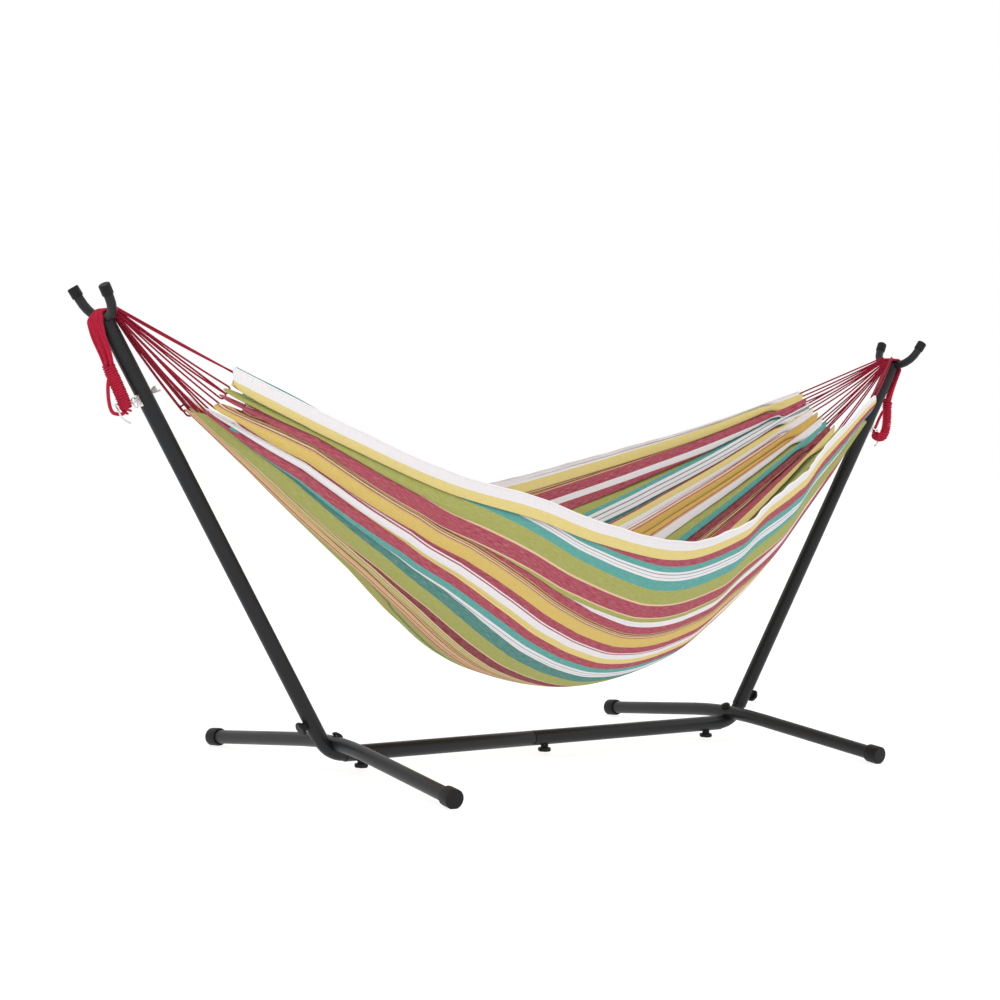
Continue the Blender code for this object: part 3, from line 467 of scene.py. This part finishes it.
class Surface:
    """The smooth surface that the cloth lies along, sampled by length and distance across."""

    def __init__(self, rows=241, columns=241):
        self.t = np.linspace(-1.0, 1.0, rows)
        self.share = np.linspace(0.0, 1.0, columns)
        v = np.linspace(-1.0, 1.0, 401)
        grid, self.width = [], []
        for t in self.t:
            near_y, near_z, far_y, far_z, mid_y, mid_z = station(t)
            near_power = NEAR_POWER + (NEAR_POWER_RIGHT - NEAR_POWER) * max(t, 0.0)
            near = v < 0
            y = mid_y + (np.where(near, near_y, far_y) - mid_y) * abs(v)
            z = mid_z + ((np.where(near, near_z, far_z) - mid_z)
                         * abs(v) ** np.where(near, near_power, FAR_POWER))
            x = t * (BED_HALF + BED_BULGE * (1 - v * v))
            line = np.stack([x, y, z], 1)
            run = np.concatenate([[0], np.cumsum(np.linalg.norm(np.diff(line, axis=0),
                                                                axis=1))])
            self.width.append(run[-1])
            grid.append(np.stack([np.interp(self.share * run[-1], run, line[:, k])
                                  for k in range(3)], 1))
        self.points = np.array(grid)
        self.width = np.array(self.width)
        tangents = np.gradient(self.points, axis=1)
        tangents[:, :, 0] = 0.0
        self.tangents = tangents / np.linalg.norm(tangents, axis=2, keepdims=True)

    def across(self, t):
        """The width from edge to edge, measured along the surface."""
        return np.interp(t, self.t, self.width)

    def pick(self, grid, t, share):
        """The grid's value between its rows and columns, at t and a share of the width."""
        i = np.clip((t + 1) / 2 * (len(self.t) - 1), 0, len(self.t) - 1.001)
        j = np.clip(share, 0, 1) * (len(self.share) - 1.001)
        i0, j0 = i.astype(int), j.astype(int)
        a, b = (i - i0)[:, None], (j - j0)[:, None]
        return ((grid[i0, j0] * (1 - b) + grid[i0, j0 + 1] * b) * (1 - a)
                + (grid[i0 + 1, j0] * (1 - b) + grid[i0 + 1, j0 + 1] * b) * a)

    def at(self, t, distance):
        """Points and outward normals. Beyond an edge the surface runs straight on."""
        width = self.across(t)
        share = distance / width
        tangent = self.pick(self.tangents, t, share)
        tangent /= np.linalg.norm(tangent, axis=1, keepdims=True)
        point = self.pick(self.points, t, share)
        beyond = distance - np.clip(distance, 0, width)
        point = point + tangent * beyond[:, None]
        normal = np.stack([0 * t, tangent[:, 2], -tangent[:, 1]], 1)
        return point, normal


SURFACE = Surface()

# The three pleats below the near hem on the left, whose folds show: at each of LEFT_TIMES,
# fractions of the half length, what each pleat hides (from, to; m across the cloth)
LEFT_TIMES = (-1.00, -0.90, -0.80, -0.68, -0.57, -0.46, -0.36, -0.26, -0.16, -0.05, 0.05,
              0.14)
LEFT_FOLDS = [
    [(0.050, 0.188), (0.052, 0.194), (0.054, 0.203), (0.055, 0.200), (0.056, 0.197),
     (0.057, 0.170), (0.058, 0.128), (0.058, 0.092), (0.058, 0.070), (0.058, 0.060),
     (0.058, 0.058), (0.058, 0.058)],
    [(0.212, 0.264), (0.213, 0.262), (0.214, 0.258), (0.224, 0.246), (0.232, 0.238),
     (0.235, 0.236), (0.235, 0.235), (0.235, 0.235), (0.235, 0.235), (0.235, 0.235),
     (0.235, 0.235), (0.235, 0.235)],
    [(0.279, 0.350), (0.280, 0.350), (0.281, 0.350), (0.283, 0.350), (0.284, 0.349),
     (0.285, 0.342), (0.290, 0.330), (0.296, 0.322), (0.302, 0.314), (0.305, 0.310),
     (0.307, 0.309), (0.308, 0.308)]]
LEFT_UNTIL = 0.14            # where the left end's pleats have all run out
# Two bands below the near edge lie slack and look narrower than they are. Each: where it
# ends (m across the cloth), and the share of its width that it shows at each of SLACK_TIMES
SLACK_TIMES = (-0.57, -0.36, -0.26, -0.16, -0.05, 0.10, 0.30, 0.50, 0.60, 0.90)
SLACK_BANDS = [(0.058, (1.0, 1.0, 1.0, 1.0, 1.0, 0.95, 0.95, 0.95, 0.95, 0.55)),
               (0.187, (0.45, 0.50, 0.54, 0.60, 0.70, 0.78, 0.86, 0.95, 1.0, 1.0))]
# The other pleats at full gather, by side (from, to; m across the cloth). They share what
# width is still to spare
PLEATS = {
    -1: [(0.394, 0.434), (0.449, 0.482), (0.500, 0.592), (0.644, 0.690), (0.712, 0.730),
         (0.775, 0.815), (0.820, 0.932), (0.948, 1.044), (1.060, 1.166), (1.180, 1.288),
         (1.300, 1.408), (1.420, 1.535)],
    1: [(0.120, 0.190), (0.225, 0.320), (0.350, 0.440), (0.470, 0.560), (0.590, 0.680),
        (0.706, 0.800), (0.826, 0.915), (0.940, 1.008), (1.026, 1.052), (1.076, 1.142),
        (1.168, 1.196), (1.222, 1.244), (1.270, 1.308), (1.330, 1.452), (1.476, 1.508),
        (1.532, 1.556)]}
MID_STRIP = 0.80             # where the pleats change from tucking in to tucking out
TUCK = 0.0040                # a strip's edge stands this far over the next one
FLAP_DEPTH = 0.0080          # how far a pleat's hidden flaps stand off the strips
FULL_PLEAT = 0.05            # a narrower pleat tucks less,
FULL_FOLD = 0.06             # and the first one folds less
BULGE = {-1: 0.0100, 1: 0.0070}         # crown of a strip ARCH_WIDTH wide at the ends
ARCH_WIDTH, ARCH_MOST = 0.03, 1.4       # a wider strip's crown is higher, up to ARCH_MOST
FULL_SPARE = 0.9             # the strips are fully crowned where this much width is hidden
TIP_FROM = 0.900             # the strips part into tips from here on, as shares of the half
TIP_RECEDE = {-1: 0.060, 1: 0.030}      # how far the cloth between two tips stays back
PINCH_FROM, PINCH_OVER = 0.850, 0.12    # where the strips narrow, and over how much
TIP_PINCH = 0.45             # the share of its width that a strip loses
RIGHT_DIP, DIP_FROM = 0.064, 0.52       # how far, and from where, the near edge sags
HEM_REACH = 0.85             # how much of the hem's width the first fold hides behind
PEEK = 0.011                 # how far the first fold stands above the hem at the tip
PEEK_FROM, PEEK_OVER = 0.68, 0.22       # where it comes out, and over how much
# Ripples: two long ones over the whole cloth, and two short ones along each hem
DRAPE, FLUTE, FLUTE_PITCH = 0.0030, 0.0016, 0.13
HEM_RIPPLES = ((0.0022, 37, 1), (0.0016, 81, 2))        # height, waves, turns of phase
HEM_RIPPLE_FADE = 0.022


def smooth_step(x):
    x = np.clip(x, 0.0, 1.0)
    return x * x * (3 - 2 * x)


def strips_at(t):
    """The visible strips (from, to) across the cloth and the pleats between them."""
    spare = FLAT_WIDTH - float(SURFACE.across(t))
    pleats = []
    if t < LEFT_UNTIL:
        for fold in LEFT_FOLDS:
            low, high = (float(np.interp(t, LEFT_TIMES, ends)) for ends in zip(*fold))
            pleats.append((low, max(high, low)))
    rest = PLEATS[-1 if t < LEFT_UNTIL else 1]
    hidden = spare - sum(high - low for low, high in pleats)
    share = min(max(hidden / sum(high - low for low, high in rest), 0.0), 1.0)
    for low, high in rest:
        middle, half = (low + high) / 2, (high - low) / 2 * share
        pleats.append((middle - half, middle + half))
    cuts = [0.0] + [v for pleat in pleats for v in pleat] + [FLAT_WIDTH]
    return list(zip(cuts[0::2], cuts[1::2])), pleats, spare


def spans_of(t, a, b):
    """The parts (from, to, shown width) of the strip a to b, cut where a slack band ends."""
    ends = [a] + [edge for edge, _ in SLACK_BANDS if a < edge < b] + [b]
    parts = []
    for low, high in zip(ends, ends[1:]):
        share = 1.0
        for edge, shares in reversed(SLACK_BANDS):
            if (low + high) / 2 < edge:
                share = float(np.interp(t, SLACK_TIMES, shares))
        parts.append((low, high, (high - low) * share))
    return parts


def laid_out(t, strips):
    """How the visible strips lie side by side across the surface at t.

    Gives the strips' ends and cuts (m across the cloth), where on the surface each lies,
    and how wide a metre of unslackened cloth looks there. Near the ends each strip is
    pinched towards its middle, but not at the cloth's own edges, nor the left hem's strip.
    """
    pinch = TIP_PINCH * float(smooth_step((abs(t) - PINCH_FROM) / PINCH_OVER))
    sagging = min(max((t - DIP_FROM) / (1 - DIP_FROM), 0.0), 1.0)
    dip = RIGHT_DIP * max(math.sin(math.pi * sagging), 0.0) ** 1.5
    parts = [spans_of(t, a, b) for a, b in strips]
    width = float(SURFACE.across(t))
    scale = (width - dip) / sum(span for part in parts for _, _, span in part)
    knots, places, run = [], [], dip
    for i, part in enumerate(parts):
        wide = sum(span for _, _, span in part) * scale
        inset = wide * pinch / 2
        start = run + (0 if i == 0 else inset)
        stop = run + wide - (0 if i == len(strips) - 1 or (i == 0 and t < 0) else inset)
        done = 0.0
        knots.append(part[0][0])
        places.append(start)
        for _, high, span in part:
            done += span * scale
            knots.append(high)
            places.append(start + (stop - start) * done / max(wide, 1e-9))
        run += wide
    for i in range(1, len(knots)):      # a closed pleat leaves two equal knots
        knots[i] = max(knots[i], knots[i - 1] + 1e-7)
    return knots, places, scale


def strip_height(u, a, b, before, after, crown):
    """How far a strip stands off the surface at shares u of its width from a to b.

    It leans from the pleat before it to the one after, and is arched like a finger.
    """
    lean = TUCK * (-before * (1 - u) + after * u)
    if a < MID_STRIP <= b:
        return lean
    round_off = crown * min((b - a) / ARCH_WIDTH, ARCH_MOST)
    arch = round_off * np.sin(np.pi * u) ** 0.8
    return lean + arch if b < MID_STRIP else lean - arch


def first_fold(t, q, wide, hem):
    """How far up behind the hem the first pleat on the left reaches, at shares q of it.

    The hem hides it, but for its teal edge near the tip.
    """
    reach = hem * HEM_REACH + PEEK * float(smooth_step((-t - PEEK_FROM) / PEEK_OVER))
    reach *= min(wide / FULL_FOLD, 1.0)
    return reach * np.sin(np.pi * q ** 0.72)


def add_ripples(out, t, c):
    """Adds the loose drape between the ends and the ruffles of the hems to out."""
    calm = 1 - abs(t) ** 4
    out += calm * DRAPE * np.sin(7.3 * t + 9.0 * c) * np.sin(5.1 * c - 3.7 * t + 1.0)
    out += (calm * FLUTE * np.sin(2 * np.pi * (c / FLUTE_PITCH + 0.9 * t))
            * min(abs(t) * 2.5, 1.0))
    for edge, phase in ((0.0, 0.0), (FLAT_WIDTH, 1.9)):
        closeness = np.exp(-abs(c - edge) / HEM_RIPPLE_FADE)
        out += calm * closeness * sum(height * math.sin(waves * t + turns * phase)
                                      for height, waves, turns in HEM_RIPPLES)


def cloth_row(t, c, lift=0.0):
    """Points of the cloth at a fraction t of its half length and distances c across it.

    s is where they lie on the surface, out how far they stand off it, and recede how far
    they stay back from the tips, as a share.
    """
    side = -1 if t < 0 else 1
    strips, pleats, spare = strips_at(t)
    knots, places, scale = laid_out(t, strips)
    s = np.interp(c, knots, places)
    out = np.zeros_like(c)
    recede = np.zeros_like(c)
    depth = [min((b - a) / FULL_PLEAT, 1.0) for a, b in pleats]
    crown = BULGE[side] * min(max(spare / FULL_SPARE, 0.0), 1.0)
    last = len(strips) - 1
    for i, (a, b) in enumerate(strips):
        on = (c >= a) & (c <= b)
        u = np.clip((c[on] - a) / max(b - a, 1e-6), 0, 1)
        before = depth[i - 1] if i > 0 else 0.0
        after = depth[i] if i < last else 0.0
        out[on] = strip_height(u, a, b, before, after, crown)
        off = u if i == 0 else 1 - u if i == last else abs(2 * u - 1)
        recede[on] = 1 - (1 - off ** 2.5) ** 0.4
    for k, (a, b) in enumerate(pleats):
        if b - a < 1e-5:
            continue
        on = (c > a) & (c < b)
        q = (c[on] - a) / (b - a)
        if t < LEFT_UNTIL and k == 0:
            back = first_fold(t, q, b - a, (strips[0][1] - strips[0][0]) * scale)
            recede[on] = np.where(q < 0.5, 0.20, 0.75)
        else:
            back = (b - a) / 4 * np.sin(np.pi * q) ** 0.9
            recede[on] = 1.0
        lean = TUCK * depth[k] * (1 - 2 * q)
        fold = FLAP_DEPTH * depth[k] * np.sin(np.pi * q)
        if b < MID_STRIP:
            s[on] -= back
            out[on] = lean - fold
        else:
            s[on] += back
            out[on] = lean + fold
    add_ripples(out, t, c)
    tip = float(smooth_step((abs(t) - TIP_FROM) / (1 - TIP_FROM)))
    where = side * (abs(t) - TIP_RECEDE[side] / BED_HALF * recede * tip)
    point, normal = SURFACE.at(np.broadcast_to(where, c.shape).astype(float), s)
    return point + normal * (out + lift)[:, None]


CLOTH_ROWS, CLOTH_COLUMNS = 260, 640


def make_cloth():
    """The woven sheet, one grid of points, with closer rows towards the ends."""
    rows, columns = CLOTH_ROWS, CLOTH_COLUMNS
    half = np.linspace(0, 1, rows // 2 + 1) ** 0.85
    ts = np.concatenate([-half[::-1], half[1:]])
    c = np.linspace(0, FLAT_WIDTH, columns + 1)
    grid = np.array([cloth_row(t, c) for t in ts])
    middle = len(ts) // 2
    steps = np.linalg.norm(np.diff(grid[:, columns // 4], axis=0), axis=1)
    along = np.concatenate([[0], np.cumsum(steps)])
    along -= along[middle]
    count = columns + 1
    faces = [(i * count + j, i * count + j + 1, (i + 1) * count + j + 1, (i + 1) * count + j)
             for i in range(len(ts) - 1) for j in range(columns)]
    uvs = [(a, w) for a in along for w in c]
    obj = mesh_object("cloth", grid.reshape(-1, 3), faces, uvs, "cloth", CLOTH, HAMMOCK)
    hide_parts("bed")
    return obj


HEM_R, HEM_FLAT, HEM_INSET = 0.0024, 0.55, 0.0012
HEM_END, HEM_STEPS = 0.995, 400


def make_hems():
    """The rolled selvedges along the two long edges."""
    hems = []
    for name, place in (("hem_near", HEM_INSET), ("hem_far", FLAT_WIDTH - HEM_INSET)):
        path = [Vector(cloth_row(t, np.array([place]))[0])
                for t in np.linspace(-HEM_END, HEM_END, HEM_STEPS)]
        hems.append(tube(name, path, HEM_R, SELVEDGE, HAMMOCK, flat=HEM_FLAT))
    return hems


# ---------------------------------------------------------------- the cords
def out_along(x, z, side):
    """The point x outwards on a side, in the middle plane, at height z."""
    return Vector((side * x, 0, z))


def saddle_rise(y):
    """How far the fork tube has risen at a distance from its middle."""
    beyond = max(abs(y) - FORK_FLAT, 0.0)
    return FORK_BEND_R - math.sqrt(FORK_BEND_R ** 2 - beyond ** 2)


STRANDS, STRAND_PITCH = 7, 0.0066
STRAND_Y = [(k - (STRANDS - 1) / 2) * STRAND_PITCH for k in range(STRANDS)]
# where each strand lies in the round neck of the hank: one in the middle, six around it
NECK_RING = 0.0088
NECK = [(0.0, 0.0)] + [(NECK_RING * math.cos(math.radians(60 * k)),
                        NECK_RING * math.sin(math.radians(60 * k))) for k in range(6)]
NECK_ORDER = [5, 4, 6, 0, 3, 1, 2]      # near strands to the near places
SADDLE_TURN = (105, 80, 55, 30, 5)      # where the strands touch the fork's tube (degrees)
SADDLE_GAP = 0.0010                     # how far they stand off it
STRAND_WAVE = 0.0012
FAN_SLOPE, FAN_SHIFT = 0.40, 0.003      # the hanging strands' fan: far ones further out


def make_strands(suffix, side):
    """The strands that lie in the fork and hang down to the neck of the loop."""
    centre = Vector((CORNER_X + COS * (FORK_Z - BASE_Z) / SIN, 0, FORK_Z))
    over = FORK_R + STRAND_D / 2 + SADDLE_GAP
    line = [Vector((STRAND_START[0], 0, STRAND_START[1]))]
    for degrees in SADDLE_TURN:
        angle = math.radians(degrees)
        line.append(centre + Vector((math.cos(angle), 0, math.sin(angle))) * over)
    saddle = len(line) - 1
    line += [Vector((x, 0, z)) for x, z in HANK_ROUTE]
    last = len(line) - 1
    for k, y in enumerate(STRAND_Y):
        neck_y, neck_n = NECK[NECK_ORDER[k]]
        points = []
        for i, point in enumerate(line):
            a, b = line[max(i - 1, 0)], line[min(i + 1, last)]
            tangent = (b - a).normalized()
            outward = Vector((-tangent.z, 0, tangent.x))
            gather = min(max((i - saddle) / (last - saddle), 0.0), 1.0) ** 3
            wave = (STRAND_WAVE * math.sin(1.7 * i + 2.1 * k)
                    * math.sin(math.pi * i / last))
            turned = min(max((i - saddle + 1) / 2, 0.0), 1.0) * (1 - gather)
            place = Vector((0, y * (1 - gather) + neck_y * gather + wave, 0))
            place += outward * ((FAN_SLOPE * y - FAN_SHIFT) * turned)
            lift = UP * (saddle_rise(y) * (1 - gather))
            points.append(point + place + lift + outward * (neck_n * gather))
        path = [Vector((side * p.x, p.y, p.z)) for p in smooth_path(points)]
        name = "hank_strand_%s_%d" % (suffix, k + 1)
        obj = tube(name, path, STRAND_D / 2, CRIMSON_ROPE, STAND, sides=10)
    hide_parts("hank_" + suffix)


COIL_STEPS = 16              # points to a turn of the whipping
NECK_TAPER, END_TAPER = 0.030, 0.018    # over which it widens from the neck, and runs out
WHIP_UNEVEN = 0.0004         # how far its turns stand in and out


def make_loop(suffix, side):
    """The rope loop below the neck: one leg whipped with close turns, one bare."""
    whipped = smooth_path([out_along(x, z, side) for x, z in WHIP_ROUTE[side]])
    bare = smooth_path([out_along(x, z, side) for x, z in reversed(LEG_ROUTE[side])])
    path = whipped + bare[1:]
    loop = tube("loop_" + suffix, path, ROPE_D / 2, CRIMSON_ROPE, STAND, sides=12)
    # the whipping: a helix that starts round the hank's neck and covers the first leg
    (x1, z1), (x2, z2) = HANK_ROUTE[-2:]
    share = NECK_WRAP / math.hypot(x1 - x2, z1 - z2)
    neck = out_along(x2 + (x1 - x2) * share, z2 + (z1 - z2) * share, side)
    wound = smooth_path([neck, out_along(x2, z2, side)]
                        + [out_along(x, z, side) for x, z in WHIP_ROUTE[side][1:]])
    frames = turned_frames(wound)
    runs = [0.0]
    for a, b in zip(wound, wound[1:]):
        runs.append(runs[-1] + (b - a).length)
    runs[-1] -= WHIP_SHORT[side]
    steps = int(runs[-1] / WHIP_PITCH * COIL_STEPS)
    bare_rope = ROPE_D / 2 + WHIP_WIRE
    coil = []
    for i in range(steps + 1):
        run = runs[-1] * i / steps
        j = min(max(int(np.searchsorted(runs, run)) - 1, 0), len(frames) - 2)
        share = (run - runs[j]) / (runs[j + 1] - runs[j])
        point = frames[j][0].lerp(frames[j + 1][0], share)
        normal = frames[j][1].lerp(frames[j + 1][1], share).normalized()
        binormal = frames[j][2].lerp(frames[j + 1][2], share).normalized()
        start = min(run / NECK_TAPER, 1.0)
        end = min(max(runs[-1] - run, 0.0) / END_TAPER, 1.0)
        radius = NECK_R + (WHIP_R[side] - WHIP_WIRE - NECK_R) * start
        radius = bare_rope + (radius - bare_rope) * math.sqrt(1 - (1 - end) ** 2)
        radius += WHIP_UNEVEN * math.sin(2.3 * run / WHIP_PITCH)
        angle = 2 * math.pi * run / WHIP_PITCH
        coil.append(point + (normal * math.cos(angle) + binormal * math.sin(angle)) * radius)
    whipping = tube("whipping_" + suffix, coil, WHIP_WIRE, CRIMSON_ROPE, STAND)
    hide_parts("whipped_loop_" + suffix)


# The strips whose tips hold a cord, counted from the near hem. HEM_TIPS says where across
# the first strip its cords are held (m); the others are held in the middle of their strip
TIPS = {-1: (0, 1, 2, 3, 5, 6, 7, 8, 10, 12, 14), 1: (0, 0, 3, 6, 8, 9, 10, 12, 13, 14, 15)}
HEM_TIPS = {-1: (0.014,), 1: (0.020, 0.080)}
FORK_SPREAD = 0.012          # the middle cords reach the fork this much lower
LEG_OFFSET = 0.0021          # a cord's two legs start this far above and below its middle,
LEG_LEAN = 0.3               # and this share of it farther and nearer
LEG_STEPS = 24
SAG = 0.003
EYE_R = 0.0094               # bend of a cord round its tip
# On the near wall and on the far one: how far out along the cloth the eyes are held, and
# how much further than BULGE they stand behind the crown of their strip
HELD_NEAR, HELD_FAR = 0.990, 0.972
HOLLOW_NEAR, HOLLOW_FAR = 0.002, 0.006
HOLLOW_FIRST = 0.006         # the left hem's eye stands this much further behind
ACROSS_STEP = 0.003          # to find which way the cloth runs at an eye


def tips_of(side):
    """Where across the cloth the cords are held: the middles of the chosen strips."""
    strips, _, _ = strips_at(float(side))
    hems = list(HEM_TIPS[side])
    return hems + [sum(strips[i]) / 2 for i in TIPS[side][len(hems):]]


def sagging_line(start, stop, sag):
    """Points from start to stop, lowest in the middle by sag."""
    points = []
    for i in range(LEG_STEPS + 1):
        u = i / LEG_STEPS
        points.append(start.lerp(stop, u) - Vector((0, 0, sag * 4 * u * (1 - u))))
    return points


def make_clew_cords(suffix, side):
    """Cords from the fork out to the tips of the cloth, each there and back again."""
    cords = []
    tips = tips_of(side)
    for k, c in enumerate(tips):
        hem_eye = side < 0 and k == 0
        if c < MID_STRIP:
            held, hollow = side * HELD_NEAR, -BULGE[side] - HOLLOW_NEAR
        else:
            held, hollow = side * HELD_FAR, BULGE[side] + HOLLOW_FAR
        if hem_eye:
            hollow -= HOLLOW_FIRST
        inner, ahead = (Vector(p) for p in
                        cloth_row(held, np.array([c, c + ACROSS_STEP]), hollow))
        share = (k + 0.5) / len(tips)
        y = STRAND_Y[0] + (STRAND_Y[-1] - STRAND_Y[0]) * share
        low = FORK_SPREAD * math.sin(math.pi * share)
        fork = [Vector((side * CORD_START[0], y + offset * LEG_LEAN,
                        CORD_START[1] - low + offset + saddle_rise(y)))
                for offset in (LEG_OFFSET, -LEG_OFFSET)]
        heading = (fork[0] + fork[1]) / 2 - inner
        heading.normalize()
        across = ahead - inner
        across = (across - heading * across.dot(heading)).normalized()
        if hem_eye:                     # this one stands edge-on to its strip
            across = heading.cross(across)
        if (fork[1] - fork[0]).dot(across) < 0:
            across = -across
        eye = []
        for degrees in range(-90, 91, 20):
            angle = math.radians(degrees)
            eye.append(inner - heading * (EYE_R * math.cos(angle))
                       + across * (EYE_R * math.sin(angle)))
        sag = SAG + SAG * math.sin(2.9 * k + side)
        path = (sagging_line(fork[0], eye[0], sag)[:-1] + eye
                + sagging_line(eye[-1], fork[1], sag + SAG)[1:])
        name = "clew_cord_%s_%d" % (suffix, k + 1)
        obj = tube(name, path, STRING_D / 2, CRIMSON, HAMMOCK)
        cords.append(obj)
    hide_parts("clew_cords_" + suffix)
    return cords


# ---------------------------------------------------------------- carried-over CAD nodes
WELD_DISTANCE, SPLIT_ANGLE = 0.00002, math.radians(38)


def dress_frame():
    """Gives the CAD nodes their materials and rounds off their facets' shading."""
    finishes = {
        "steel": powder_coat("charcoal_powder_coat", (27, 28, 30), 0.40),
        "steel_satin": powder_coat("satin_powder_coat", (34, 35, 37), 0.36),
        "plastic": moulded_plastic("black_plastic", (17, 17, 18)),
        "zinc": zinc_plate("bright_zinc"),
        "cord": CRIMSON_ROPE,
        "cloth": CLOTH,
    }
    for row in frame["record"]["subparts"]:
        obj = frame["nodes"][row["node"]]
        obj.data.materials.clear()
        obj.data.materials.append(finishes[row["material_slot"]])
        if "custom_normal" in obj.data.attributes:
            obj.data.attributes.remove(obj.data.attributes["custom_normal"])
        obj.data.shade_smooth()
        weld = obj.modifiers.new("weld", "WELD")
        weld.merge_threshold = WELD_DISTANCE
        split = obj.modifiers.new("edges", "EDGE_SPLIT")
        split.split_angle = SPLIT_ANGLE


# ---------------------------------------------------------------- stage
FLOOR_Z = -0.0008            # just under the feet
LIGHTS = (                   # name, place, target, size (m), power (W)
    ("key", (-3.4, -3.6, 4.2), (0, 0, 0.6), 2.6, 58),
    ("fill", (3.5, -2.0, 3.0), (0, 0, 0.6), 3.0, 14))


def make_stage():
    """A wide pale floor, an even white sky and two soft lights."""
    n = Nodes("floor")
    speck = n.noise(n.place(), 3.0)
    floor_material = n.surface(
        Base_Color=n.mix(speck, colour(158, 158, 158), colour(150, 150, 150)),
        Roughness=0.9, Emission_Color=(1.0, 1.0, 1.0, 1.0), Emission_Strength=0.80)
    bpy.ops.mesh.primitive_circle_add(vertices=64, radius=60, fill_type="NGON")
    floor = bpy.context.object
    floor.name = "floor"
    floor.location.z = FLOOR_Z
    floor.data.materials.append(floor_material)
    world = bpy.data.worlds.new("world")
    world.use_nodes = True
    background = world.node_tree.nodes["Background"]
    background.inputs[0].default_value = (1.0, 1.0, 1.0, 1.0)
    background.inputs[1].default_value = 1.0
    bpy.context.scene.world = world
    for name, place, target, size, power in LIGHTS:
        data = bpy.data.lights.new(name, "AREA")
        data.size = size
        data.energy = power
        light = bpy.data.objects.new(name, data)
        bpy.context.scene.collection.objects.link(light)
        light.location = place
        light.rotation_euler = (Vector(target) - Vector(place)).to_track_quat(
            "-Z", "Y").to_euler()
    bpy.context.scene.view_settings.view_transform = "Standard"


# ---------------------------------------------------------------- assembly
for side_name, side_sign in SIDES:
    make_strands(side_name, side_sign)
    make_loop(side_name, side_sign)
clew_cords = []
for side_name, side_sign in SIDES:
    clew_cords += make_clew_cords(side_name, side_sign)
dress_frame()
cloth = make_cloth()
hems = make_hems()
make_stage()

import json
